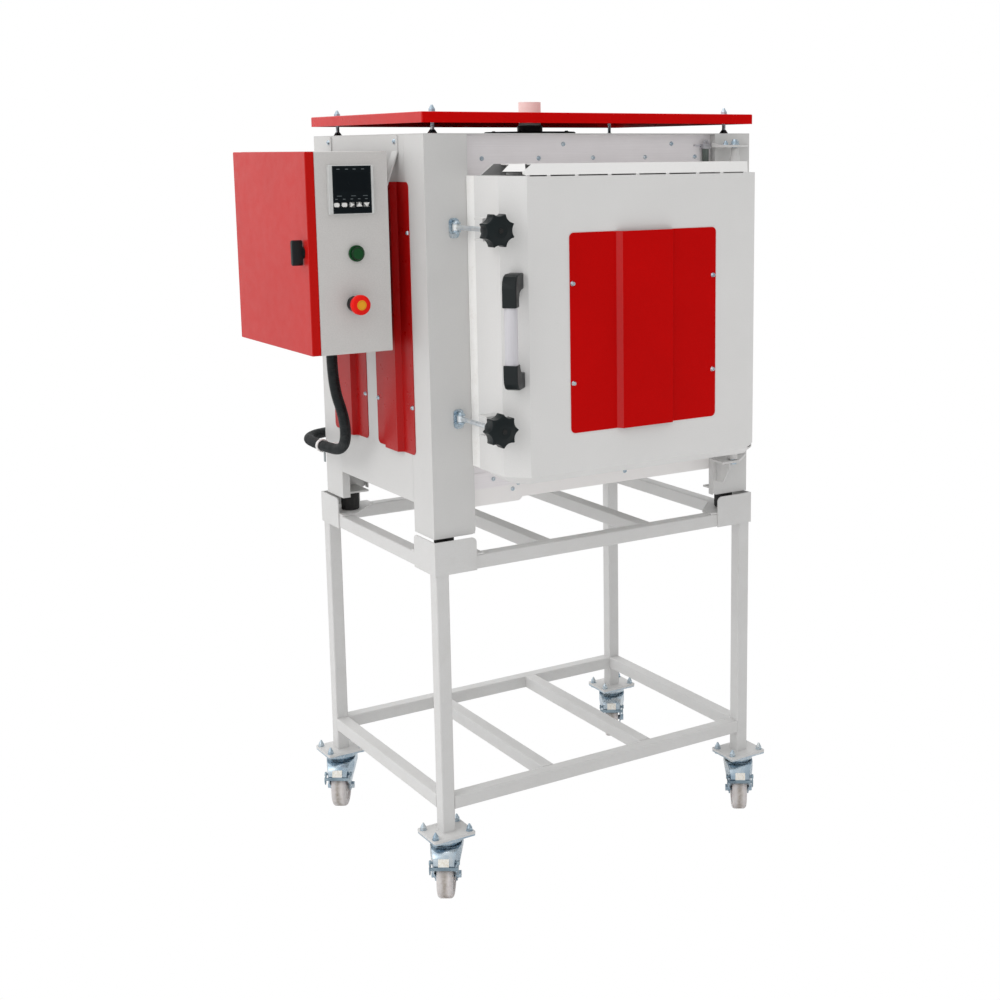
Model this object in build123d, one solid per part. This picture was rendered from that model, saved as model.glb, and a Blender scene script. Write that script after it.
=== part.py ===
from build123d import *
import os
from math import sin, cos, tan, radians, degrees, pi

os.makedirs("parts", exist_ok=True)

# ---------------------------------------------------------------- driving sizes (mm)
# Working frame: x to the right, y to the back, z up, floor at z = 0,
# x = y = 0 on the middle of the kiln body. Every solid is moved by (SX, SY) at the
# end, so that the origin lies under the middle of the whole object.
SX, SY = 101.70, 54.311

BODY_W, BODY_D = 814.0, 552.4        # casing
BODY_Z0, BODY_Z1 = 845.0, 1604.0
POST_W, POST_SIDE = 96.0, 90.0       # corner posts: width on the front and on the side
POST_Z0 = 782.0
POST_RETURN = 18.0
SHEET = 2.0

STAND_W, STAND_D = 819.2, 586.2
STAND_CY = 7.8
TUBE, TUBE_WALL = 30.0, 2.0
SHELF_Z0 = 190.0                     # underside of the lower rails
TOPRAIL_Z0 = 708.0                   # underside of the upper rails
PLATE_Z0, PLATE_T = 136.0, 5.5       # painted plates above the castors
GUSSET_Z0, GUSSET_Z1, GUSSET_L = 707.0, 778.0, 97.0

WHEEL_R, WHEEL_W, TRAIL = 50.0, 34.0, 18.0
CASTOR_YAW = -33.4                   # all four castors trail the same way

COVER_W, COVER_D, COVER_CY = 824.0, 558.4, -2.5
COVER_Z0, COVER_Z1 = 1624.6, 1645.9
STUD_IN = 41.0

PLATE_Y = -258.2                     # front plate, behind the posts' front faces
CHAMBER_X, CHAMBER_Y1 = 225.0, 130.0
CHAMBER_Z0, CHAMBER_Z1 = 999.0, 1449.0

DOOR_X0, DOOR_X1 = -315.0, 285.0     # closed door
DOOR_YB, DOOR_YS, DOOR_YF = -309.6, -409.6, -449.6   # gasket side, end of the side wall, front
DOOR_Z0, DOOR_Z1 = 927.0, 1521.0
FLAP_HT, FLAP_HB, FLAP_IN = 22.5, 18.5, 28.0     # sloping caps: rise at the top, drop at the bottom, inset
HINGE_X, HINGE_Y = 338.0, -312.0
CLAMP_X, CLAMP_Y = -345.0, -288.0
CLAMP_ZU, CLAMP_ZL = 1419.0, 1031.0

CAB_X0, CAB_X1 = -604.0, -450.0      # control cabinet without its door
CAB_Y0, CAB_Y1 = -197.5, 204.5
CAB_Z0, CAB_Z1 = 1170.0, 1570.0
CAB_DOOR_X = -623.0
CAB_HX, CAB_HY = -611.0, 210.5       # cabinet door hinge axis

CONDUIT_R = 12.0

XL, XR = -BODY_W / 2, BODY_W / 2
YF, YB = -BODY_D / 2, BODY_D / 2
SXL, SXR = -STAND_W / 2, STAND_W / 2
SYF, SYB = STAND_CY - STAND_D / 2, STAND_CY + STAND_D / 2

# ---------------------------------------------------------------- helpers
def bx(x0, x1, y0, y1, z0, z1):
    return Pos((x0 + x1) / 2, (y0 + y1) / 2, (z0 + z1) / 2) * Box(abs(x1 - x0), abs(y1 - y0), abs(z1 - z0))

def cyl(r, h, at, d=(0, 0, 1)):
    return Plane(origin=at, z_dir=d) * Cylinder(r, h, align=(Align.CENTER, Align.CENTER, Align.MIN))

def cone(r0, r1, h, at, d=(0, 0, 1)):
    return Plane(origin=at, z_dir=d) * Cone(r0, r1, h, align=(Align.CENTER, Align.CENTER, Align.MIN))

def face(pts):
    return make_face(Polyline(*pts, close=True))

def prism_z(pts, z0, z1):
    return extrude(Plane(origin=(0, 0, z0)) * face(pts), amount=z1 - z0)

def prism_x(pts, x0, x1):            # pts are (y, z)
    return extrude(Plane(origin=(x0, 0, 0), x_dir=(0, 1, 0), z_dir=(1, 0, 0)) * face(pts), amount=x1 - x0)

def prism_y(pts, y0, y1):            # pts are (x, z)
    return extrude(Plane(origin=(0, y1, 0), x_dir=(1, 0, 0), z_dir=(0, -1, 0)) * face(pts), amount=y1 - y0)

def rr_x(y0, y1, z0, z1, r, x0, x1):  # rounded plate facing x
    return extrude(Plane(origin=(x0, (y0 + y1) / 2, (z0 + z1) / 2), x_dir=(0, 1, 0), z_dir=(1, 0, 0)) * RectangleRounded(y1 - y0, z1 - z0, r), amount=x1 - x0)

def rr_y(x0, x1, z0, z1, r, y0, y1):  # rounded plate facing y
    return extrude(Plane(origin=((x0 + x1) / 2, y1, (z0 + z1) / 2), x_dir=(1, 0, 0), z_dir=(0, -1, 0)) * RectangleRounded(x1 - x0, z1 - z0, r), amount=y1 - y0)

def rr_z(x0, x1, y0, y1, r, z0, z1):
    return extrude(Pos((x0 + x1) / 2, (y0 + y1) / 2, z0) * RectangleRounded(x1 - x0, y1 - y0, r), amount=z1 - z0)

def dome_screw(at, d, r=4.2, h=2.6):
    """Pan-headed screw, head resting on the point `at`, facing along d."""
    hd = cone(r, r * 0.62, h, at, d)
    sock = cyl(r * 0.33, h * 0.7, tuple(a + b * h * 0.45 for a, b in zip(at, d)), d)
    return hd - sock

NODES = {}
def put(name, *items):
    out = []
    for it in items:
        if isinstance(it, (list, tuple, ShapeList)):
            for k in it:
                out += list(k.solids())
        else:
            out += list(it.solids())
    NODES.setdefault(name, []).extend(out)

# ---------------------------------------------------------------- stand: one welded frame
legs = []
LEGS = [(-1, -1, "fl"), (1, -1, "fr"), (-1, 1, "rl"), (1, 1, "rr")]
LEG_X = STAND_W / 2 - TUBE / 2
LEG_Y = STAND_D / 2 - TUBE / 2
PLATE_Z1 = PLATE_Z0 + PLATE_T
RAIL_TOP = TOPRAIL_Z0 + TUBE
for sx, sy, _ in LEGS:
    cx, cy = sx * LEG_X, sy * LEG_Y + STAND_CY
    h = TUBE / 2
    t = extrude(Pos(cx, cy, PLATE_Z1) * RectangleRounded(TUBE, TUBE, 3), amount=RAIL_TOP - PLATE_Z1)
    t -= bx(cx - h + TUBE_WALL, cx + h - TUBE_WALL, cy - h + TUBE_WALL, cy + h - TUBE_WALL, PLATE_Z1 - 1, RAIL_TOP - 2)
    legs.append(t)
put("stand_legs", legs)

rails = []
def tube_x(x0, x1, yc, z0):
    t = extrude(Plane(origin=(x0, yc, z0 + TUBE / 2), x_dir=(0, 1, 0), z_dir=(1, 0, 0)) * RectangleRounded(TUBE, TUBE, 3), amount=x1 - x0)
    return t - bx(x0 - 1, x1 + 1, yc - TUBE / 2 + 2, yc + TUBE / 2 - 2, z0 + 2, z0 + TUBE - 2)
def tube_y(y0, y1, xc, z0):
    t = extrude(Plane(origin=(xc, y0, z0 + TUBE / 2), x_dir=(-1, 0, 0), z_dir=(0, 1, 0)) * RectangleRounded(TUBE, TUBE, 3), amount=y1 - y0)
    return t - bx(xc - TUBE / 2 + 2, xc + TUBE / 2 - 2, y0 - 1, y1 + 1, z0 + 2, z0 + TUBE - 2)
IN_X = STAND_W / 2 - TUBE
IN_Y = STAND_D / 2 - TUBE
CROSS_X = 131.6
for z0 in (SHELF_Z0, TOPRAIL_Z0):
    rails.append(tube_x(-IN_X, IN_X, SYF + TUBE / 2, z0))
    rails.append(tube_x(-IN_X, IN_X, SYB - TUBE / 2, z0))
    for xc in (-LEG_X, LEG_X, -CROSS_X, CROSS_X):
        rails.append(tube_y(SYF + TUBE, SYB - TUBE, xc, z0))
put("stand_rails", rails)

plates = []
for sx, sy, _ in LEGS:
    cx, cy = sx * LEG_X, sy * LEG_Y + STAND_CY
    p = rr_z(cx - 49, cx + 49, cy - 41.5, cy + 41.5, 4, PLATE_Z0, PLATE_Z1)
    for ax in (-40, 40):
        for ay in (-29, 29):
            p -= cyl(4.3, PLATE_T + 2, (cx + ax, cy + ay, PLATE_Z0 - 1))
    plates.append(p)
put("stand_plates", plates)

gus = []
for sx, sy, _ in LEGS:
    xo = sx * (STAND_W / 2)
    yo = STAND_CY + sy * (STAND_D / 2)
    # plate on the front or rear, plate on the side, both 3 mm, standing proud of the rails
    xa, xb = sorted((xo + sx * 3, xo - sx * (GUSSET_L - 3)))
    a = rr_y(xa, xb, GUSSET_Z0 - 14, GUSSET_Z1, 11, *sorted((yo, yo + sy * 3)))
    a &= bx(xa - 1, xb + 1, yo - 5, yo + 5, GUSSET_Z0, GUSSET_Z1 + 1)
    a += bx(*sorted((xo + sx * 3, xo - sx * 14)), *sorted((yo, yo + sy * 3)), GUSSET_Z0, GUSSET_Z1)
    ya, yb = sorted((yo + sy * 3, yo - sy * (GUSSET_L - 3)))
    b = rr_x(ya, yb, GUSSET_Z0 - 14, GUSSET_Z1, 11, *sorted((xo, xo + sx * 3)))
    b &= bx(xo - 5, xo + 5, ya - 1, yb + 1, GUSSET_Z0, GUSSET_Z1 + 1)
    b += bx(*sorted((xo, xo + sx * 3)), *sorted((yo + sy * 3, yo - sy * 14)), GUSSET_Z0, GUSSET_Z1)
    # flat corner plate on the rails, which carries the kiln's foot
    c = prism_z([(xo, yo), (xo - sx * 112, yo), (xo - sx * 112, yo - sy * 34), (xo - sx * 34, yo - sy * 112), (xo, yo - sy * 112)], RAIL_TOP, RAIL_TOP + 4)
    gus.append((a + b) + c)
put("stand_plates", gus)

# ---------------------------------------------------------------- castors
mounts_ = []
for sx, sy, nm in LEGS:
    cx, cy = sx * LEG_X, sy * LEG_Y + STAND_CY
    top = rr_z(cx - 49, cx + 49, cy - 41.5, cy + 41.5, 5, PLATE_Z0 - 3.5, PLATE_Z0)
    top += cyl(30, 3.0, (cx, cy, PLATE_Z0 - 6.5))
    top += cyl(6, 21.5, (cx, cy, PLATE_Z0 - 25))          # king pin
    top += cyl(10, 4, (cx, cy, PLATE_Z0 - 27.2))           # king pin head
    for ax in (-40, 40):
        for ay in (-29, 29):
            top += cyl(4, PLATE_T + 2, (cx + ax, cy + ay, PLATE_Z0 - 1))
            top += cyl(6.6, 3.2, (cx + ax, cy + ay, PLATE_Z0 - 6.7))
            top += cyl(7.4, 1.2, (cx + ax, cy + ay, PLATE_Z1))
            nut = extrude(Pos(cx + ax, cy + ay, PLATE_Z1 + 1.2) * RegularPolygon(6.9, 6), amount=5.6)
            nut += cone(6.0, 1.6, 8.6, (cx + ax, cy + ay, PLATE_Z1 + 6.8))
            top += nut
    mounts_.append(top)
put("castor_mounts", mounts_)

def place(shape, cx, cy):
    return Pos(cx, cy, 0) * (Rot(0, 0, CASTOR_YAW) * shape)

# local castor frame: x along the axle, the wheel trails towards -y
head = cyl(33.5, 8.5, (0, 0, 120.7)) + cyl(27, 6, (0, 0, 115.3))
# pressed fork: two cheeks, wider at the top, joined by a curved hood over the tyre
hood_side = [Polyline((-36, 118.3), (27, 118.3), (31, 110), (28, 92), (10, 68), (-5, 49), (-10, 38.5), (-TRAIL, 35.5), (-26.5, 38.5), (-32, 47), (-46, 64), (-58, 76), (-64.4, 85)),
             ThreePointArc((-64.4, 85), (-57.4, 105.0), (-36, 118.3))]
shell_a = extrude(Plane(origin=(-40, 0, 0), x_dir=(0, 1, 0), z_dir=(1, 0, 0)) * make_face([e for w_ in hood_side for e in w_.edges()]), amount=80)
shell_b = prism_y([(-23.6, 30), (23.6, 30), (23.6, 55), (25.6, 66), (30.0, 82), (33.4, 100), (33.4, 125), (-33.4, 125), (-33.4, 100), (-30.0, 82), (-25.6, 66), (-23.6, 55)], -80, 40)
shell_b &= prism_z([(-19.6, -72), (19.6, -72), (21.8, -64), (33.4, -20), (33.4, 40), (-33.4, 40), (-33.4, -20), (-21.8, -64)], 20, 130)
shell = shell_a & shell_b
cav_side = [Polyline((-35, 115.5), (60, 115.5), (60, 0), (-90, 0), (-90, 85.0), (-61.7, 85.0)), ThreePointArc((-61.7, 85.0), (-55.3, 103.0), (-35, 115.5))]
cav_a = extrude(Plane(origin=(-40, 0, 0), x_dir=(0, 1, 0), z_dir=(1, 0, 0)) * make_face([e for w_ in cav_side for e in w_.edges()]), amount=80)
cav_b = prism_y([(-20.8, -5), (20.8, -5), (20.8, 55), (22.8, 66), (27.2, 82), (30.6, 100), (30.6, 125), (-30.6, 125), (-30.6, 100), (-27.2, 82), (-22.8, 66), (-20.8, 55)], -100, 80)
cav_b &= prism_z([(-17.6, -92), (17.6, -92), (17.6, -68), (19.0, -63), (30.6, -19), (30.6, 60), (-30.6, 60), (-30.6, -19), (-19.0, -63), (-17.6, -68)], -10, 130)
shell -= cav_a & cav_b
fork = head + shell
fork -= cyl(6.06, 40, (0, 0, 100))
fork -= cyl(11, 7.6, (0, 0, 107.7))
axle = cyl(6, 53, (-26.5, -TRAIL, WHEEL_R), (1, 0, 0))
nutr = cyl(9, 2, (23.6, -TRAIL, WHEEL_R), (1, 0, 0)) + extrude(Plane(origin=(25.6, -TRAIL, WHEEL_R), z_dir=(1, 0, 0)) * RegularPolygon(8.6, 6), amount=6)
nutl = cyl(9, 2, (-25.6, -TRAIL, WHEEL_R), (1, 0, 0)) + extrude(Plane(origin=(-31.6, -TRAIL, WHEEL_R), z_dir=(1, 0, 0)) * RegularPolygon(8.6, 6), amount=6)
fork += axle + nutr + nutl
# wheel, running on the axle
wp = Plane(origin=(-WHEEL_W / 2, -TRAIL, WHEEL_R), z_dir=(1, 0, 0)) * Cylinder(WHEEL_R, WHEEL_W, align=(Align.CENTER, Align.CENTER, Align.MIN))
wp = fillet(wp.edges().filter_by(GeomType.CIRCLE), 7.5)
for s_ in (-1, 1):
    wp -= cyl(36, 5, (s_ * (WHEEL_W / 2) - (5 if s_ > 0 else 0), -TRAIL, WHEEL_R), (1, 0, 0)) - cyl(15, 5, (s_ * (WHEEL_W / 2) - (5 if s_ > 0 else 0), -TRAIL, WHEEL_R), (1, 0, 0))
wp -= cyl(6.06, WHEEL_W + 4, (-WHEEL_W / 2 - 2, -TRAIL, WHEEL_R), (1, 0, 0))
# brake pedal: two arms on stub pins outside the cheeks, a bar that carries the shoe, and a foot tab
BR_Y, BR_Z = -52.0, 92.0
fork -= cyl(3.06, 80, (-40, BR_Y, BR_Z), (1, 0, 0))
arm = [(-69.5, 89), (-70, 82), (-68, 74), (-63, 69.5), (-57, 72), (-54.5, 80), (-48, 85.5), (-46.3, 90), (-47.5, 95.5), (-52, 98), (-57, 96.5), (-62, 91.5)]
brake = prism_x(arm, 28.6, 30.6) + prism_x(arm, -30.6, -28.6)
for s_ in (-1, 1):
    brake += cyl(3, 7.4, (23.2 if s_ > 0 else -30.6, BR_Y, BR_Z), (1, 0, 0)) + cyl(5, 1.8, (30.6 if s_ > 0 else -32.4, BR_Y, BR_Z), (1, 0, 0))
brake += prism_x([(-69.4, 82), (-69.4, 88.6), (-66.6, 88.6), (-66.6, 84.5), (-62.9, 80.9), (-64.3, 79.2)], -16, 16)
brake += prism_x([(-69.4, 82), (-69.4, 88.6), (-66.6, 88.6), (-66.6, 82)], -30.6, 30.6)
brake += prism_x([(-69.4, 85), (-67.2, 85), (-66.4, 96), (-63.0, 105.5), (-65.0, 106.3), (-68.6, 97)], -11.5, 11.5)
for sx, sy, nm in LEGS:
    cx, cy = sx * LEG_X, sy * LEG_Y + STAND_CY
    put("castor_fork_" + nm, place(fork, cx, cy))
    put("castor_wheel_" + nm, place(wp, cx, cy))
    put("castor_brake_" + nm, place(brake, cx, cy))

# ---------------------------------------------------------------- kiln casing
def post(sx, sy):
    """Folded corner post: front leg, side leg and two inward returns."""
    xo, yo = sx * BODY_W / 2, sy * BODY_D / 2
    def px(a): return xo - sx * a
    def py(a): return yo - sy * a
    pts = [(px(0), py(0)), (px(POST_W), py(0)), (px(POST_W), py(POST_RETURN)), (px(POST_W - SHEET), py(POST_RETURN)),
           (px(POST_W - SHEET), py(SHEET)), (px(SHEET), py(SHEET)), (px(SHEET), py(POST_SIDE - SHEET)),
           (px(POST_RETURN), py(POST_SIDE - SHEET)), (px(POST_RETURN), py(POST_SIDE)), (px(0), py(POST_SIDE))]
    p = prism_z(pts, POST_Z0, BODY_Z1 - SHEET)
    # rounded lower corner beside the return
    cxr = px(POST_W)
    cut = bx(*sorted((cxr, cxr + sx * 9)), *sorted((yo + sy, yo - sy * 3)), POST_Z0 - 1, POST_Z0 + 9) - cyl(9, 8, (cxr + sx * 9, yo - sy * 4 if sy > 0 else yo - 4, POST_Z0 + 9), (0, 1, 0))
    p -= cut
    # foot plate closing the post, 4 mm up
    p += bx(*sorted((px(2), px(72))), *sorted((py(2), py(72))), POST_Z0 + 4, POST_Z0 + 8)
    return p
put("corner_posts", [post(sx, sy) for sx, sy, _ in LEGS])

feet = []
for sx, sy, _ in LEGS:
    fx, fy = sx * (BODY_W / 2 - 40), sy * (BODY_D / 2 - 36)
    f_ = cyl(21, POST_Z0 + 4 - RAIL_TOP - 4, (fx, fy, RAIL_TOP + 4))
    f_ = chamfer(f_.edges().filter_by(GeomType.CIRCLE), 2)
    feet.append(f_)
put("kiln_feet", feet)

side_l = bx(XL, XL + 1.5, YF + POST_SIDE + 0.6, YB - POST_SIDE - 0.6, BODY_Z0, BODY_Z1 - SHEET)
side_r = bx(XR - 1.5, XR, YF + POST_SIDE + 0.6, YB - POST_SIDE - 0.6, BODY_Z0, BODY_Z1 - SHEET)
for yc in (-112.5, 120.5):
    for k in range(8):
        z = 990 + k * 68
        side_l -= bx(XL - 1, XL + 3, yc - 24, yc + 24, z, z + 7)
        side_r -= bx(XR - 3, XR + 1, yc - 24, yc + 24, z, z + 7)
rear = bx(XL + POST_W + 0.6, XR - POST_W - 0.6, YB - 1.5, YB, BODY_Z0, BODY_Z1 - SHEET)
rear -= cyl(11, 10, (0, YB - 5, 1300), (0, 1, 0))
rear -= cyl(14, 10, (-240, YB - 5, 910), (0, 1, 0))
TB_X0, TB_X1, TB_Y1, TB_Z0, TB_Z1 = -300.0, -140.0, YB + 98, 868.0, 958.0
tbox = rr_y(TB_X0, TB_X1, TB_Z0, TB_Z1, 6, YB, TB_Y1) - bx(TB_X0 + 2, TB_X1 - 2, YB - 1, TB_Y1 - 2, TB_Z0 + 2, TB_Z1 - 2)
tbox -= cyl(10.2, 10, (TB_X0 - 5, 352, 910), (1, 0, 0))
put("casing_panels", side_l, side_r, rear, tbox)

roof = bx(XL, XR, YF, YB, BODY_Z1 - SHEET, BODY_Z1) - cyl(27, 10, (0, 5, BODY_Z1 - 5))
for sx in (-1, 1):
    for sy in (-1, 1):
        roof -= cyl(4.1, 10, (sx * (BODY_W / 2 - STUD_IN), sy * (BODY_D / 2 - STUD_IN), BODY_Z1 - 5))
base = bx(XL + 18.6, XR - 18.6, PLATE_Y + 2.2, YB - 19, BODY_Z0, BODY_Z0 + SHEET)
put("casing_ends", roof, base)

fp = bx(-391, 391, PLATE_Y, PLATE_Y + 2, 842, BODY_Z1 - SHEET)
fp -= extrude(Plane(origin=(0, PLATE_Y + 5, (CHAMBER_Z0 + CHAMBER_Z1) / 2), x_dir=(1, 0, 0), z_dir=(0, -1, 0)) * RectangleRounded(2 * CHAMBER_X, CHAMBER_Z1 - CHAMBER_Z0, 10), amount=12)
sill = bx(-309, -186, PLATE_Y - 1.5, PLATE_Y, 835, 905)
sill -= bx(-200, -180, PLATE_Y - 3, PLATE_Y + 1, 830, 849) - cyl(14, 6, (-200, PLATE_Y - 4, 849), (0, 1, 0))
put("front_plate", fp, sill)

# ---------------------------------------------------------------- lining, elements, hearth
LIN = 386.0
LY0, LY1 = PLATE_Y + 4.4, 254.0
blocks = []
for k in range(3):
    z0, z1 = 849.0 + k * 250.3, 849.0 + (k + 1) * 250.3
    for s_ in (-1, 1):
        blocks.append(bx(s_ * CHAMBER_X, s_ * LIN, LY0, LY1, z0, z1 - 0.4))
tc_z = 1300.0
back = bx(-CHAMBER_X, CHAMBER_X, CHAMBER_Y1, LY1, CHAMBER_Z0, CHAMBER_Z1) - cyl(7.2, 200, (0, 100, tc_z), (0, 1, 0))
blocks.append(back)
blocks.append(bx(-CHAMBER_X, CHAMBER_X, LY0, LY1, 849, CHAMBER_Z0))
rl = bx(-CHAMBER_X, CHAMBER_X, LY0, LY1, CHAMBER_Z1, 1599.9) - cyl(25.6, 200, (0, 5, 1420))
blocks.append(rl)
put("lining_blocks", blocks)

hp = rr_z(-200, 200, -225, 112, 6, CHAMBER_Z0 + 18, CHAMBER_Z0 + 32)
for x_ in (-160, 160):
    hp += bx(x_ - 18, x_ + 18, -200, 90, CHAMBER_Z0, CHAMBER_Z0 + 18)
put("hearth_plate", hp)

els = []
for s_ in (-1, 1):
    xe = s_ * (CHAMBER_X - 11)
    e = None
    zs = [1058 + 57 * k for k in range(7)]
    for k, z in enumerate(zs):
        c = cyl(6.5, 310, (xe, -222, z), (0, 1, 0))
        e = c if e is None else e + c
        if k < 6:
            yy = 86 if k % 2 == 0 else -220
            e += bx(xe - 3, xe + 3, yy - 3, yy + 3, z, z + 57)
    for z in (zs[0], zs[-1]):
        e += cyl(3, CHAMBER_Y1 - 80, (xe, 80, z), (0, 1, 0))
    for y_ in (-170, -10):
        e += bx(*sorted((xe, s_ * CHAMBER_X)), y_ - 4, y_ + 4, zs[0] - 8, zs[-1] + 8)
    els.append(e)
put("heating_elements", els)

tc = cyl(7, YB + 20 - 70, (0, 70, tc_z), (0, 1, 0)) + cyl(26, 34, (0, YB + 16, tc_z), (0, 1, 0)) + cyl(16, 20, (0, YB, tc_z), (0, 1, 0))
put("thermocouple", tc)

vt = cyl(25, 1676 - CHAMBER_Z1, (0, 5, CHAMBER_Z1)) - cyl(18, 300, (0, 5, CHAMBER_Z1 - 10))
put("vent_tube", vt)
col = cyl(103, 6.5, (0, 5, BODY_Z1)) 
col = fillet(col.edges().filter_by(GeomType.CIRCLE).sort_by(Axis.Z)[-1], 3)
col += cyl(28.5, 20, (0, 5, BODY_Z1 + 0.2))
col -= cyl(25.4, 40, (0, 5, BODY_Z1 - 5))
for k in range(4):
    a = radians(45 + 90 * k)
    col += dome_screw((85 * cos(a), 5 + 85 * sin(a), BODY_Z1 + 6.4), (0, 0, 1), 5, 2.4)
put("vent_collar", col)

cv = bx(-COVER_W / 2, COVER_W / 2, COVER_CY - COVER_D / 2, COVER_CY + COVER_D / 2, COVER_Z0, COVER_Z1)
cv = fillet(cv.edges().filter_by(Axis.Z), 3)
cv = fillet(cv.faces().sort_by(Axis.Z)[-1].edges(), 2.4)
cv -= bx(-COVER_W / 2 + 1.6, COVER_W / 2 - 1.6, COVER_CY - COVER_D / 2 + 1.6, COVER_CY + COVER_D / 2 - 1.6, COVER_Z0 - 1, COVER_Z1 - 2.5)
cv -= cyl(30, 20, (0, 5, COVER_Z1 - 10))
studs = []
for sx in (-1, 1):
    for sy in (-1, 1):
        x_, y_ = sx * (BODY_W / 2 - STUD_IN), sy * (BODY_D / 2 - STUD_IN)
        cv -= cyl(4.3, 20, (x_, y_, COVER_Z1 - 10))
        s_ = cyl(4, COVER_Z1 + 3.0 - (BODY_Z1 - 3.0), (x_, y_, BODY_Z1 - 3.0))
        s_ += cone(10.5, 5.0, 8, (x_, y_, BODY_Z1 + 0.01))
        s_ += cyl(7.5, 1.6, (x_, y_, COVER_Z1 - 4.2))
        studs.append(s_)
put("top_cover", cv)
put("case_fasteners", studs)

fast = []
for sx in (-1, 1):
    for sy in (-1, 1):
        x_, y_ = sx * (BODY_W / 2 - STUD_IN), sy * (BODY_D / 2 - STUD_IN)
        n_ = cyl(8.5, 1.3, (x_, y_, COVER_Z1)) + extrude(Pos(x_, y_, COVER_Z1 + 1.3) * RegularPolygon(7.4, 6), amount=5.2)
        n_ += cone(6.2, 2.0, 8.0, (x_, y_, COVER_Z1 + 6.5))
        n_ -= cyl(4.05, 3.4, (x_, y_, COVER_Z1 - 0.2))
        fast.append(n_)
for x_ in (-268, -134, 0, 134, 268):
    fast.append(dome_screw((x_, PLATE_Y, 1553.5), (0, -1, 0), 5.0, 3.0))
for x_ in (-74, 204):
    fast.append(dome_screw((x_, PLATE_Y, 1582), (0, -1, 0), 5.0, 3.0))
for x_, z_ in ((-257, 889), (-211, 862), (-197, 873)):
    fast.append(dome_screw((x_, PLATE_Y - 1.5, z_), (0, -1, 0), 5.0, 3.0))
fast.append(dome_screw((77, PLATE_Y, 865), (0, -1, 0), 5.0, 3.0))

# red vent covers: pressed sheets whose middle stands out, open at top and bottom
def vent_profile(w, f, s, r, t):
    h = w / 2
    a = h - f
    k = 0.55
    return [(-h, 0), (-h, t), (-a - k, t), (-a + s - k, r + t), (a - s + k, r + t), (a + k, t), (h, t), (h, 0), (a, 0), (a - s, r), (-a + s, r), (-a, 0)]
SV_W, SV_Z0, SV_Z1 = 181.0, 947.0, 1508.0
svs = []
for sx in (-1, 1):
    for yc in (-112.5, 120.5):
        pr = vent_profile(SV_W, 52, 8.5, 11.5, 1.5)
        pts = [(sx * (BODY_W / 2 + d), yc + a) for a, d in pr]
        v = prism_z(pts, SV_Z0, SV_Z1)
        v &= rr_x(yc - SV_W / 2, yc + SV_W / 2, SV_Z0, SV_Z1, 11, -500 if sx < 0 else 300, -300 if sx < 0 else 500)
        svs.append(v)
        for zz in (1046.5, 1406.0):
            for e_ in (-1, 1):
                fast.append(dome_screw((sx * (BODY_W / 2 + 1.5), yc + e_ * 83.5, zz), (sx, 0, 0), 5.2, 3.4))
put("side_vent_covers", svs)
put("case_fasteners", fast)

# ---------------------------------------------------------------- painted brackets on the casing
br = []
HB_Z = (864.0, 1573.5)                # undersides of the two 5 mm hinge plates
HB_PTS = [(301, YF), (299, -327), (345, -327), (405, YF)]
for z_, low in ((HB_Z[0], True), (HB_Z[1], False)):
    pl = prism_z(HB_PTS, z_, z_ + 5)
    pl -= cyl(6.06, 12, (HINGE_X, HINGE_Y, z_ - 3))
    if low:
        pl += prism_x([(YF, z_), (YF, 814), (-302, 816), (-325, 852), (-325, z_)], 319, 322)
    else:
        pl += prism_x([(YF, z_ + 5), (YF, z_ + 11), (-290, z_ + 8), (-300, z_ + 5)], 301.5, 304.5)
    br.append(pl)
# cabinet hangers: tab on the casing, sloping strap down to the cabinet's side
for yc in (-150.0, 186.0):
    tab = rr_x(yc - 12, yc + 12, 1566, 1602, 3, XL - 3, XL) - cyl(2.6, 10, (XL - 6, yc, 1589), (1, 0, 0))
    st = prism_y([(XL, 1570), (XL - 3, 1570), (CAB_X1, 1462), (CAB_X1, 1372), (CAB_X1 + 3, 1372), (CAB_X1 + 3, 1462)], yc - 12, yc + 12)
    br.append(tab + st)
# lower spacers that keep the cabinet's side clear of the casing
for yc in (4.0,):
    br.append(bx(CAB_X1, XL, yc - 12, yc + 12, 1185, 1188) + bx(CAB_X1, CAB_X1 + 3, yc - 12, yc + 12, 1188, 1212) + bx(XL - 3, XL, yc - 12, yc + 12, 1188, 1212))
put("casing_brackets", br)
hang_screws = [dome_screw((XL - 3, yc, 1589), (-1, 0, 0), 5.6, 3.4) for yc in (-150.0, 186.0)]
put("case_fasteners", hang_screws)
pins = []
zl, zu = HB_Z[0], HB_Z[1] + 5
pins.append(cyl(6, 44, (HINGE_X, HINGE_Y, zl)) + cyl(9.5, 5, (HINGE_X, HINGE_Y, zl - 5)))
pu = cyl(6, 64, (HINGE_X, HINGE_Y, zu - 52)) + cyl(11, 1.8, (HINGE_X, HINGE_Y, zu)) + extrude(Pos(HINGE_X, HINGE_Y, zu + 1.8) * RegularPolygon(9.6, 6), amount=6.2)
pins.append(pu)
for x_, y_ in ((311, -314), (322, -300)):
    pins.append(cyl(6.2, 1.2, (x_, y_, zu)) + extrude(Pos(x_, y_, zu + 1.2) * RegularPolygon(5.6, 6), amount=4.2) + cyl(2.9, 9.0, (x_, y_, zu)))
put("case_fasteners", pins)

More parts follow.
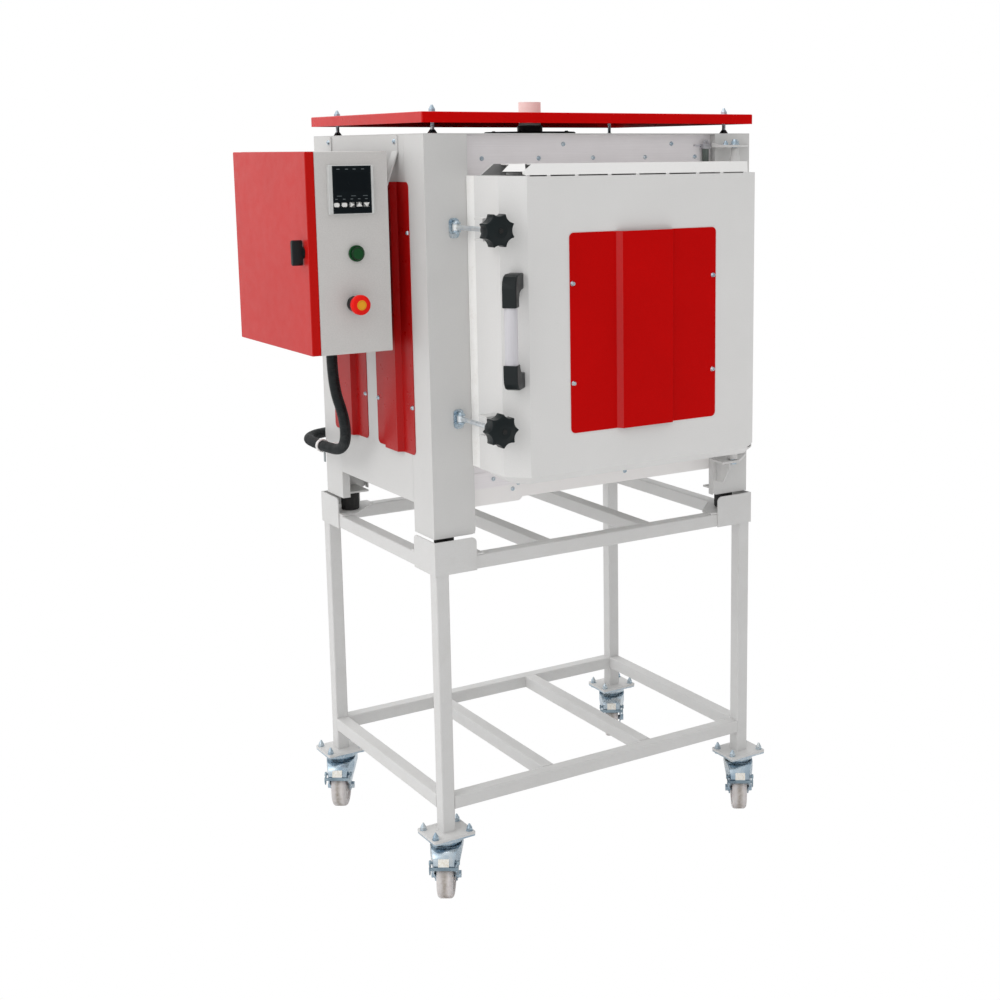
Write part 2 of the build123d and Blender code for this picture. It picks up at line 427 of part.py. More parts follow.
# clamp brackets: base plate, two ears, pivot pin with domed heads
cbs = []
for zc in (CLAMP_ZU, CLAMP_ZL):
    b_ = rr_y(CLAMP_X - 11, CLAMP_X + 11, zc - 22, zc + 18, 8, YF - 3, YF)
    for s_ in (-1, 1):
        za, zb = sorted((zc + s_ * 6.4, zc + s_ * 9.4))
        ear = bx(CLAMP_X - 9, CLAMP_X + 9, CLAMP_Y, YF - 2.9, za, zb) + cyl(9, 3, (CLAMP_X, CLAMP_Y, za))
        b_ += ear
    b_ += cyl(4, 24, (CLAMP_X, CLAMP_Y, zc - 12))
    b_ += cone(7, 4.2, 4, (CLAMP_X, CLAMP_Y, zc + 9.4)) + cone(7, 4.2, 4, (CLAMP_X, CLAMP_Y, zc - 9.4), (0, 0, -1))
    cbs.append(b_)
put("clamp_brackets", cbs)

# door switch beside the door's hinge side
sw = cyl(7.2, 93, (291.5, PLATE_Y - 8, 1478)) + bx(286, 297, PLATE_Y - 8, PLATE_Y, 1484, 1500)
sw += rr_y(281.5, 301.5, 1571, 1580.5, 2, PLATE_Y - 15, PLATE_Y) + bx(264, 283, PLATE_Y - 7, PLATE_Y, 1576, 1579.4)
sw += Plane(origin=(292.5, PLATE_Y - 8, 1581.5), z_dir=(0, -1, 0)) * Torus(6.0, 2.2)
put("door_switch", sw)

# ---------------------------------------------------------------- door
def door_outline(o):
    """Plan outline of the door, o mm inside the outer faces (left, bevel, front; right by o)."""
    r2 = 2 ** 0.5
    c = DOOR_X0 + DOOR_YS + o * r2        # bevel line x + y = c
    xl, yf = DOOR_X0 + o, DOOR_YF + o
    return [(xl, c - xl), (c - yf, yf)]

def frustum(o_bot, o_top, x1, yb0, z_bot, z_top):
    (a0, a1), (b0, b1) = door_outline(o_bot), door_outline(o_top)
    bot = [a0, a1, (x1, a1[1]), (x1, yb0), (a0[0], yb0)]
    top = [b0, b1, (x1, b1[1]), (x1, yb0), (b0[0], yb0)]
    return loft([Plane(origin=(0, 0, z_bot)) * face(bot), Plane(origin=(0, 0, z_top)) * face(top)], ruled=True)

def door_prism(o, yb, z0, z1, x1):
    a0, a1 = door_outline(o)
    return prism_z([a0, a1, (x1, a1[1]), (x1, yb), (a0[0], yb)], z0, z1)

T = 2.0
YBF = -336.0                              # back edge of the sloping caps
outer = door_prism(0, DOOR_YB, DOOR_Z0, DOOR_Z1, DOOR_X1)
outer += frustum(0, FLAP_IN, DOOR_X1 - 3, YBF, DOOR_Z0, DOOR_Z0 - FLAP_HB)
inner = door_prism(T, DOOR_YB + 1, DOOR_Z0 - 0.01, DOOR_Z1 + 0.01, DOOR_X1 - T)
k_ = T * 1.25
inner += frustum(k_, FLAP_IN + k_ * 0.55, DOOR_X1 - 3 - T, YBF - T, DOOR_Z0, DOOR_Z0 - FLAP_HB + T)
inner -= bx(-400, 400, YBF - T, DOOR_YB + 5, DOOR_Z0 - 40, DOOR_Z0 + T)
inner -= bx(-400, 400, YBF - T, DOOR_YB + 5, DOOR_Z1 - T, DOOR_Z1 + 40)
shell = outer - inner

def slope_plate(corners, t):
    """Plate of thickness t behind four (or more) coplanar corners, listed anticlockwise as seen from outside."""
    f_ = make_face(Polyline(*corners, close=True)).face()
    n = f_.normal_at()
    if n.Y > 0 or n.Z < 0:
        n = -n
    return extrude(f_, amount=t, dir=-n)

ZT = DOOR_Z1 + FLAP_HT
YT = DOOR_YF + FLAP_IN
# front flap: its left edge is cut well past the corner, its right edge stands out
def on_front(x, k):                       # a point of the front flap, k = 0 at the fold, 1 at its top
    return (x, DOOR_YF + FLAP_IN * k, DOOR_Z1 + FLAP_HT * k)
shell += slope_plate([on_front(-273.5, 0), on_front(265.5, 0), on_front(286.5, 1), on_front(-247, 1), on_front(-279, 0.33), on_front(-280, 0.2)], T)
# bevel flap: stands clear of the bevel's edge, held by the front flap
r2_ = 2 ** 0.5
def on_bevel(s, k):                       # s along the bevel from its left end, k as before
    n_ = FLAP_IN * k
    return (DOOR_X0 + s / r2_ + n_ / r2_, DOOR_YS - s / r2_ + n_ / r2_, DOOR_Z1 + FLAP_HT * k)
bev = slope_plate([on_bevel(5.0, 0.36), on_bevel(52.0, 0.36), on_bevel(46.0, 1), on_bevel(15.0, 1)], T)
shell += bev
# roof and rear wall of the cap; its left side is open
shell += prism_z([(-247, YT), (286.5, YT), (281, YBF), (-268, YBF), (-281, -400), (-276, -409.5), (-262, -421.6)], ZT - T, ZT)
shell += prism_y([(DOOR_X0, DOOR_Z1), (DOOR_X1, DOOR_Z1), (DOOR_X1 - 4, ZT), (DOOR_X0 + 30, ZT)], YBF - T, YBF)
shell += prism_x([(YBF, DOOR_Z1), (YBF, ZT), (YT + 1.5, ZT), (DOOR_YF + 2, DOOR_Z1), ], 262, 264)
# cut fold lines along the front's top edge: slots with short raised bridges between them
xs = [-284, -225, -161, -83.5, -15.9, 58.3, 134.5, 197, 258.1]
for a, b in zip([-280] + xs[1:], xs[1:] + [259.5]):
    if b - a > 8:
        shell -= bx(a + 3.5, b - 3.5, DOOR_YF - 1, DOOR_YF + 4.5, DOOR_Z1 - 1.2, DOOR_Z1 + 1.4)
for x_ in xs[1:]:
    shell += cyl(2.0, 6.4, (x_ - 3.2, DOOR_YF + 1.1, DOOR_Z1 + 0.4), (1, 0, 0))
shell += cyl(2.0, 7.0, (-275.5, DOOR_YF + 1.4, DOOR_Z1 + 0.4), (1, 0, 0))
# rounded lower right corner of the front sheet
shell -= bx(DOOR_X1 - 15, DOOR_X1 + 1, DOOR_YF - 1, DOOR_YF + 3, DOOR_Z0 - 0.5, DOOR_Z0 + 10) - prism_y([(DOOR_X1 - 15, DOOR_Z0 - 1), (DOOR_X1 - 15, DOOR_Z0), (DOOR_X1 - 5.5, DOOR_Z0 + 5.5), (DOOR_X1, DOOR_Z0 + 10), (DOOR_X1 - 30, DOOR_Z0 + 10), (DOOR_X1 - 30, DOOR_Z0 - 1)], DOOR_YF - 2, DOOR_YF + 4)
put("door_shell", shell)

ins = door_prism(5, DOOR_YB, DOOR_Z0 + 5, DOOR_Z1 - 5, DOOR_X1 - 5)
plug = rr_y(-214, 214, CHAMBER_Z0 + 11, CHAMBER_Z1 - 11, 12, DOOR_YB, -240)
put("door_insulation", ins + plug)

gk = bx(DOOR_X0, DOOR_X1, DOOR_YB, YF - 0.5, DOOR_Z0 + 0.5, DOOR_Z1 - 0.5)
gk += bx(-307, DOOR_X1 - 4, YF - 0.6, PLATE_Y - 1.9, DOOR_Z0 + 2, DOOR_Z1 - 2)
gk -= rr_y(-216, 216, CHAMBER_Z0 + 9, CHAMBER_Z1 - 9, 12, DOOR_YB - 5, -200)
put("door_gasket", gk)

DV = (-181.0, 181.0, 1007.0, 1409.0)
pr = vent_profile(362, 111, 8.5, 11.5, 1.5)
pts = [(a, DOOR_YF - d) for a, d in pr]
dv = prism_z(pts, DV[2], DV[3])
dv &= rr_y(DV[0], DV[1], DV[2], DV[3], 10, DOOR_YF - 60, DOOR_YF + 10)
put("door_vent_cover", dv)

fit_ = []
for x_ in (-174, 174):
    for z_ in (1108.5, 1308.5):
        fit_.append(dome_screw((x_, DOOR_YF - 1.5, z_), (0, -1, 0), 5.6, 3.6))
put("door_screws", fit_)

# slotted lugs that take the swing bolts
lug = []
for zc in (CLAMP_ZU, CLAMP_ZL):
    l_ = bx(DOOR_X0 - 4, DOOR_X0, -410, -376, zc - 22, zc + 22)
    for s_ in (-1, 1):
        l_ += bx(-352, DOOR_X0, -410, -376, *sorted((zc + s_ * 18, zc + s_ * 22)))
    fr = bx(-352, DOOR_X0, -410, -404, zc - 22, zc + 22)
    fr -= bx(-353, -338, -412, -402, zc - 6, zc + 6)
    fr -= cyl(6, 12, (-338, -412, zc), (0, 1, 0))
    lug.append(l_ + fr)
# hinge barrel with its arms on the door's right side
ht = cyl(8.6, 1572 - 871, (HINGE_X, HINGE_Y, 871)) + cyl(11, 26, (HINGE_X, HINGE_Y, 1529)) + cyl(11, 30, (HINGE_X, HINGE_Y, 871))
for z_ in (960, 1224, 1462):
    ht += bx(DOOR_X1, HINGE_X, HINGE_Y - 9, HINGE_Y, z_, z_ + 26)
    ht += bx(DOOR_X1, DOOR_X1 + 4, -400, HINGE_Y, z_ - 12, z_ + 38)
ht -= cyl(6.07, 60, (HINGE_X, HINGE_Y, 850))
ht -= cyl(6.07, 60, (HINGE_X, HINGE_Y, 1519))
put("door_fittings", lug)
put("door_fittings", ht)

# bridge handle on the bevel
r2 = 2 ** 0.5
hbx, hby = DOOR_X0 + 0.58 * 40, DOOR_YS - 0.58 * 40
HP = Plane(origin=(hbx, hby, 0), x_dir=(-1 / r2, -1 / r2, 0), z_dir=(1 / r2, -1 / r2, 0))   # local x = outwards, y = ?, z = sideways
def handle_piece(pts, w):
    f_ = HP * face(pts)
    return extrude(f_, amount=w / 2, both=True)
up = 1 if HP.y_dir.Z > 0 else -1
def hz(z): return up * z
end_u = [(0, 1335), (36, 1335), (48, 1331), (56, 1321), (58, 1308), (58, 1271), (34, 1271), (34, 1287), (29, 1297), (20, 1302), (0, 1304)]
end_l = [(0, 1109), (36, 1109), (48, 1113), (56, 1123), (58, 1136), (58, 1160), (34, 1160), (34, 1155), (29, 1147), (20, 1142), (0, 1140)]
hu = handle_piece([(a, hz(b)) for a, b in end_u], 29)
hl = handle_piece([(a, hz(b)) for a, b in end_l], 29)
def soft(s, r):
    try:
        return fillet(s.edges().filter_by(Plane(HP).z_dir if False else Axis((0, 0, 0), (1 / r2, -1 / r2, 0)), reverse=True), r)
    except Exception:
        return s
hu, hl = soft(hu, 3.0), soft(hl, 3.0)
gp = Plane(origin=(hbx - 46 / r2, hby - 46 / r2, 1158), x_dir=(1 / r2, -1 / r2, 0), z_dir=(0, 0, 1))
grip = extrude(gp * Ellipse(13.2, 10.6), amount=1273 - 1158)
hu -= extrude(gp * Ellipse(13.3, 10.7), amount=1273 - 1158)
hl -= extrude(gp * Ellipse(13.3, 10.7), amount=1273 - 1158)
put("door_handle", hu, hl)
put("door_handle", grip)

# ---------------------------------------------------------------- swing bolts and star knobs
def star(r_out, r_in, n, rot=0.0):
    edges = []
    for k in range(n):
        a0 = radians(360 / n * k + rot)
        a1 = radians(360 / n * (k + 1) + rot)
        am = (a0 + a1) / 2
        d = radians(2.2)
        p0 = (r_out * cos(a0 + d), r_out * sin(a0 + d))
        p1 = (r_out * cos(a1 - d), r_out * sin(a1 - d))
        pm = (r_in * cos(am), r_in * sin(am))
        edges.append(ThreePointArc(p0, pm, p1))
        a2 = a1 + d
        edges.append(Line(p1, (r_out * cos(a2), r_out * sin(a2))))
    return make_face(Wire(edges))

KNOB_Y = (-413.0, -472.0)
for nm, zc in (("upper", CLAMP_ZU), ("lower", CLAMP_ZL)):
    rod = cyl(5, 178, (CLAMP_X, CLAMP_Y - 5, zc), (0, -1, 0))
    rod += cyl(8.5, 12, (CLAMP_X, CLAMP_Y, zc - 6))
    rod -= cyl(4.06, 40, (CLAMP_X, CLAMP_Y, zc - 20))
    put("swing_bolt_" + nm, rod)
    kp = Plane(origin=(CLAMP_X, -442, zc), x_dir=(1, 0, 0), z_dir=(0, -1, 0))
    kn = extrude(kp * star(33.5, 27.5, 8, 22.5 if nm == "upper" else 0.0), amount=25)
    kn = chamfer(kn.faces().sort_by(Axis.Y)[0].edges(), 1.6)
    kn += cone(25, 14, 3.5, (CLAMP_X, -467, zc), (0, -1, 0))
    kn += cone(14, 21, 29, (CLAMP_X, -413, zc), (0, -1, 0))
    kn += cyl(12, 2.6, (CLAMP_X, -410.4, zc), (0, -1, 0))
    kn -= cyl(5.06, 70, (CLAMP_X, -405, zc), (0, -1, 0))
    put("clamp_knob_" + nm, kn)

# ---------------------------------------------------------------- control cabinet
W = 1.6
cb = bx(CAB_X0, CAB_X1, CAB_Y0, CAB_Y1, CAB_Z0, CAB_Z1)
cb = fillet(cb.edges().filter_by(Axis.X), 2.5)
cb -= bx(CAB_X0 - 1, CAB_X1 - W, CAB_Y0 + W, CAB_Y1 - W, CAB_Z0 + W, CAB_Z1 - W)
lip = bx(CAB_X0, CAB_X0 + W, CAB_Y0 + 1, CAB_Y1 - 1, CAB_Z0 + 1, CAB_Z1 - 1) - bx(CAB_X0 - 1, CAB_X0 + 3, CAB_Y0 + 16, CAB_Y1 - 16, CAB_Z0 + 16, CAB_Z1 - 16)
cb += lip
CT_X, CT_Z = -531.0, 1495.5
LA_X, LA_Z = -523.0, 1370.0
ES_X, ES_Z = -531.0, 1270.0
cb -= bx(CT_X - 45.5, CT_X + 45.5, CAB_Y0 - 2, CAB_Y0 + 4, CT_Z - 45.5, CT_Z + 45.5)
cb -= cyl(11.2, 8, (LA_X, CAB_Y0 - 4, LA_Z), (0, 1, 0))
cb -= cyl(11.2, 8, (ES_X, CAB_Y0 - 4, ES_Z), (0, 1, 0))
CO_X, CO_Y = -503.0, -7.0
cb -= cyl(10.2, 8, (CO_X, CO_Y, CAB_Z0 - 4))
# hinge leaves and pins at the rear edge
for zc in (1240, 1500):
    cb += bx(CAB_X0 - 0.001, CAB_X0 + 22, CAB_Y1, CAB_Y1 + 2, zc - 25, zc + 25)
    cb += bx(CAB_HX - 1, CAB_X0 + 4, CAB_Y1 + 2.0, CAB_Y1 + 4.0, zc - 25, zc - 8.3) + bx(CAB_HX - 1, CAB_X0 + 4, CAB_Y1 + 2.0, CAB_Y1 + 4.0, zc + 8.3, zc + 25)
    cb += cyl(5, 16.7, (CAB_HX, CAB_HY, zc - 25)) + cyl(5, 16.7, (CAB_HX, CAB_HY, zc + 8.3))
    cb += cyl(2.5, 50, (CAB_HX, CAB_HY, zc - 25))
put("cabinet_box", cb)

cd = bx(CAB_DOOR_X, CAB_X0 - 0.4, CAB_Y0 + 0.5, CAB_Y1 - 0.5, CAB_Z0 + 0.5, CAB_Z1 - 0.5)
cd = fillet(cd.edges().filter_by(Axis.X), 2.5)
cd = fillet(cd.faces().sort_by(Axis.X)[0].edges(), 1.6)
cd -= bx(CAB_DOOR_X + W, CAB_X0 + 2, CAB_Y0 + 0.5 + W, CAB_Y1 - 0.5 - W, CAB_Z0 + 0.5 + W, CAB_Z1 - 0.5 - W)
LT_Y, LT_Z = -170.0, 1374.0
cd -= cyl(6.06, 10, (CAB_DOOR_X - 4, LT_Y, LT_Z), (1, 0, 0))
for zc in (1240, 1500):
    cd += bx(CAB_HX - 7, CAB_HX - 3, CAB_Y1 - 0.6, CAB_HY, zc - 8, zc + 8)
    cd += cyl(5, 16, (CAB_HX, CAB_HY, zc - 8))
    cd -= cyl(2.56, 60, (CAB_HX, CAB_HY, zc - 30))
put("cabinet_door", cd)

lt = cyl(12, 3, (CAB_DOOR_X - 3, LT_Y, LT_Z), (1, 0, 0)) + cyl(6, 20, (CAB_DOOR_X - 1, LT_Y, LT_Z), (1, 0, 0))
wing = rr_x(LT_Y - 5.5, LT_Y + 5.5, LT_Z - 25, LT_Z + 25, 5.2, CAB_DOOR_X - 24, CAB_DOOR_X - 3)
wing = chamfer(wing.faces().sort_by(Axis.X)[0].edges(), 1.6)
lt += wing
lt += rr_x(LT_Y - 23, LT_Y + 8, LT_Z - 8, LT_Z + 8, 6, CAB_X0 + 2.2, CAB_X0 + 4.6)
lt += cyl(6, 12, (CAB_X0 - 6, LT_Y, LT_Z), (1, 0, 0))
put("cabinet_latch", lt)

# inside: mounting plate, rail, contactor, relay, terminals
ci = []
mp = bx(CAB_X1 - W - 6, CAB_X1 - W - 3.5, CAB_Y0 + 40, CAB_Y1 - 40, CAB_Z0 + 30, CAB_Z1 - 30)
for y_ in (CAB_Y0 + 52, CAB_Y1 - 52):
    for z_ in (CAB_Z0 + 42, CAB_Z1 - 42):
        mp += cyl(5, 3.5, (CAB_X1 - W - 3.5, y_, z_), (1, 0, 0))
ci.append(mp)
mx = CAB_X1 - W - 6
rail = bx(mx - 1.2, mx, -110, 130, 1262, 1297) + bx(mx - 7.5, mx, -110, 130, 1267, 1268.2) + bx(mx - 7.5, mx, -110, 130, 1290.8, 1292)
ci.append(rail)
ci.append(bx(mx - 82, mx - 7.6, -95, -50, 1240, 1320))
ci.append(bx(mx - 58, mx - 7.6, -40, 20, 1235, 1330))
for k in range(9):
    ci.append(bx(mx - 44, mx - 7.6, 34 + k * 8, 34 + k * 8 + 7.4, 1252, 1308))
ci.append(bx(mx - 44, mx, -60, 60, 1390, 1450))
put("cabinet_internals", ci)

# ---------------------------------------------------------------- controls on the cabinet's front
bz = rr_y(CT_X - 48, CT_X + 48, CT_Z - 48, CT_Z + 48, 2.5, CAB_Y0 - 8.5, CAB_Y0)
bz = chamfer(bz.faces().sort_by(Axis.Y)[0].edges(), 1.2)
bz += bx(CT_X - 45, CT_X + 45, CAB_Y0, CAB_Y0 + 85, CT_Z - 45, CT_Z + 45)
bz -= bx(CT_X - 40, CT_X + 42.4, CAB_Y0 - 10, CAB_Y0 - 5.5, CT_Z - 46.6, CT_Z + 46.6)
KEY_Z = CT_Z - 29.3
KEY_X = [CT_X + d for d in (-32.5, -16.2, 0.0, 15.6, 31.0)]
for kx in KEY_X:
    bz -= bx(kx - 6.4, kx + 6.4, CAB_Y0 - 10, CAB_Y0 - 2.5, KEY_Z - 4.9, KEY_Z + 4.9)
put("controller_bezel", bz)
fc = bx(CT_X - 39.8, CT_X + 42.2, CAB_Y0 - 7.7, CAB_Y0 - 5.5, CT_Z - 46.4, CT_Z + 46.4)
for kx in KEY_X:
    fc -= bx(kx - 6.4, kx + 6.4, CAB_Y0 - 10, CAB_Y0 - 2.5, KEY_Z - 4.9, KEY_Z + 4.9)
put("controller_face", fc)
yk0, yk1 = CAB_Y0 - 9.0, CAB_Y0 - 3.6
def key_round(kx):
    return rr_y(kx - 5.6, kx + 5.6, KEY_Z - 4.0, KEY_Z + 4.0, 3.4, yk0, yk1)
keys = [key_round(KEY_X[0]), key_round(KEY_X[1]),
        prism_y([(KEY_X[2] - 3.4, KEY_Z - 4.5), (KEY_X[2] - 3.4, KEY_Z + 4.5), (KEY_X[2] + 4.6, KEY_Z)], yk0, yk1),
        prism_y([(KEY_X[3] - 6.0, KEY_Z - 3.6), (KEY_X[3] + 6.0, KEY_Z - 3.6), (KEY_X[3], KEY_Z + 4.0)], yk0, yk1),
        prism_y([(KEY_X[4] - 6.0, KEY_Z + 3.6), (KEY_X[4] + 6.0, KEY_Z + 3.6), (KEY_X[4], KEY_Z - 4.0)], yk0, yk1)]
for k, s_ in enumerate(keys):
    put("controller_key_%d" % (k + 1), s_)

lamp = cyl(16.2, 5.5, (LA_X, CAB_Y0, LA_Z), (0, -1, 0)) + cyl(11, 44, (LA_X, CAB_Y0 - 1, LA_Z), (0, 1, 0))
lamp -= cyl(13.6, 4, (LA_X, CAB_Y0 - 2.5, LA_Z), (0, -1, 0))
lens = cyl(13.4, 9.5, (LA_X, CAB_Y0 - 2.6, LA_Z), (0, -1, 0))
lens = fillet(lens.faces().sort_by(Axis.Y)[0].edges(), 4.5)
put("signal_lamp", lamp, lens)

eb = cyl(15.5, 17, (ES_X, CAB_Y0, ES_Z), (0, -1, 0)) + cyl(11, 58, (ES_X, CAB_Y0 - 1, ES_Z), (0, 1, 0))
eb = chamfer(eb.faces().sort_by(Axis.Y)[0].edges(), 1.5)
eb -= cyl(8.06, 30, (ES_X, CAB_Y0 + 2, ES_Z), (0, -1, 0))
put("stop_button_base", eb)
es = cyl(20, 13, (ES_X, CAB_Y0 - 25, ES_Z), (0, -1, 0))
es = fillet(es.faces().sort_by(Axis.Y)[0].edges(), 4.0)
es = fillet(es.faces().sort_by(Axis.Y)[-1].edges(), 2.5)
es += cyl(8, 19, (ES_X, CAB_Y0 - 6.5, ES_Z), (0, -1, 0))
es += cyl(8.6, 0.5, (ES_X, CAB_Y0 - 38, ES_Z), (0, -1, 0))
put("stop_button_head", es)

# ---------------------------------------------------------------- conduit from the cabinet to the box at the rear
CONDUIT = [(-503, -7, 1147.5), (-503, -7, 1080), (-480, -9, 1004), (-466, 20, 949), (-458, 74, 919), (-457, 148, 914),
           (-458, 222, 913), (-447, 294, 911), (-388, 352, 910), (-308, 352, 910)]
pts_ = [Vector(*p) for p in CONDUIT]
radii = []
for i in range(1, len(pts_) - 1):
    a, b = pts_[i] - pts_[i - 1], pts_[i + 1] - pts_[i]
    th = a.get_angle(b)
    radii.append(0.45 * min(a.length, b.length) / tan(radians(th) / 2))
print("conduit radii", [round(r, 1) for r in radii])
path = FilletPolyline(*pts_, radius=radii)
tube = sweep(Plane(origin=pts_[0], z_dir=(pts_[1] - pts_[0]).normalized()) * Circle(CONDUIT_R), path=path)
print("conduit volume", tube.volume, "section x length", pi * CONDUIT_R ** 2 * path.length, "length", path.length)
put("conduit", tube)

gl = []
d0 = (pts_[0] - pts_[1]).normalized()
g1 = extrude(Pos(CO_X, CO_Y, CAB_Z0 - 8) * RegularPolygon(19, 6), amount=8) + cyl(10, 14, (CO_X, CO_Y, CAB_Z0 - 2)) + cyl(16, 14.5, (CO_X, CO_Y, CAB_Z0 - 22.5))
g1 += extrude(Pos(CO_X, CO_Y, CAB_Z0 + W) * RegularPolygon(16, 6), amount=5)
g1 -= cyl(8, 50, (CO_X, CO_Y, CAB_Z0 - 30))
g2 = extrude(Plane(origin=(TB_X0 - 8, 352, 910), z_dir=(1, 0, 0)) * RegularPolygon(19, 6), amount=8) + cyl(10, 14, (TB_X0 - 2, 352, 910), (1, 0, 0))
g2 += extrude(Plane(origin=(TB_X0 + 2, 352, 910), z_dir=(1, 0, 0)) * RegularPolygon(15, 6), amount=5)
g2 -= cyl(8, 50, (TB_X0 - 30, 352, 910), (1, 0, 0))
gl += [g1, g2]
put("conduit_fittings", gl)
# clip that holds the conduit to the casing, with its loose strap end
cy_, cz_ = 176.0, 913.6
cx_ = -457.3
ring = cyl(15, 10, (cx_, cy_ - 5, cz_), (0, 1, 0)) - cyl(12.4, 14, (cx_, cy_ - 7, cz_), (0, 1, 0))
ring += bx(cx_ + 12.6, XL, cy_ - 5, cy_ + 5, cz_ - 3, cz_ + 3) + bx(XL - 3, XL, cy_ - 9, cy_ + 9, cz_ - 12, cz_ + 12)
ring += bx(cx_ + 4, cx_ + 6, cy_ - 4, cy_ + 4, cz_ - 38, cz_ - 12.6)
put("conduit_fittings", ring)

# ---------------------------------------------------------------- write the files
lo, hi = [1e9] * 3, [-1e9] * 3
for name, sol in NODES.items():
    moved = [Pos(SX, SY, 0) * s for s in sol]
    shape = moved[0] if len(moved) == 1 else Compound(children=[Solid(s.wrapped) if not isinstance(s, Solid) else s for s in moved])
    if name != "conduit":
        for s in moved:
            b = s.bounding_box()
            for i, (a, c) in enumerate(zip((b.min.X, b.min.Y, b.min.Z), (b.max.X, b.max.Y, b.max.Z))):
                lo[i], hi[i] = min(lo[i], a), max(hi[i], c)
    export_step(shape, "parts/%s.step" % name)
print("nodes", len(NODES))
print("box", [round(v, 3) for v in lo], [round(v, 3) for v in hi], "middle", round((lo[0] + hi[0]) / 2, 3), round((lo[1] + hi[1]) / 2, 3))
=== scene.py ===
import bpy, bmesh
from math import sin, cos, tan, pi, radians, sqrt, atan2
from mathutils import Vector, Matrix


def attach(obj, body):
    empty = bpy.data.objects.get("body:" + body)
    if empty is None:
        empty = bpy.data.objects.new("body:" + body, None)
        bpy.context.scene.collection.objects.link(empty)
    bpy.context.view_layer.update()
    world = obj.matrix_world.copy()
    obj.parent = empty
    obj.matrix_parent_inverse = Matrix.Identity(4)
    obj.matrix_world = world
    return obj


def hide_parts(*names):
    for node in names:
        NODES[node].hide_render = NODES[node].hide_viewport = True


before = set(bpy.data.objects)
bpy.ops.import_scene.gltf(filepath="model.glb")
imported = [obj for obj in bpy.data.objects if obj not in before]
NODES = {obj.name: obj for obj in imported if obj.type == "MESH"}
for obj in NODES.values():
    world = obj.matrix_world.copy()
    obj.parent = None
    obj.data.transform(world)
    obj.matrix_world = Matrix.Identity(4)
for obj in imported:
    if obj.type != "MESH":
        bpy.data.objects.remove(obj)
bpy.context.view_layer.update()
MM = 0.001
SX, SY = 101.70, 54.311            # the same shift as the model: body middle -> object middle


def P(x, y, z):
    """A point given in millimetres from the middle of the kiln body, in metres in the shared frame."""
    return Vector(((x + SX) * MM, (y + SY) * MM, z * MM))


# ------------------------------------------------------------------ camera, floor, light
def make_camera():
    yaw, pitch, roll = radians(33.40), radians(-10.01), radians(-0.37)
    f = Vector((sin(yaw) * cos(pitch), cos(yaw) * cos(pitch), sin(pitch)))
    right = Vector((cos(yaw), -sin(yaw), 0))
    up = right.cross(f)
    r = right * cos(roll) + up * sin(roll)
    u = -right * sin(roll) + up * cos(roll)
    m = Matrix((r, u, -f)).transposed().to_4x4()
    m.translation = P(-1753.4, -2987.6, 1568.3)
    data = bpy.data.cameras.new("camera")
    data.sensor_width = 36.0
    data.lens = 1507.15 * 36.0 / 1000.0
    data.shift_x = (500 - 613.0) / 1000.0
    data.shift_y = (416.4 - 500) / 1000.0
    data.clip_start, data.clip_end = 0.05, 60
    cam = bpy.data.objects.new("camera", data)
    cam.matrix_world = m
    bpy.context.scene.collection.objects.link(cam)
    bpy.context.scene.camera = cam
    return cam


CAM = make_camera()
bpy.context.scene.view_settings.view_transform = "Standard"
bpy.context.scene.view_settings.look = "None"
bpy.context.scene.view_settings.exposure = 0.0


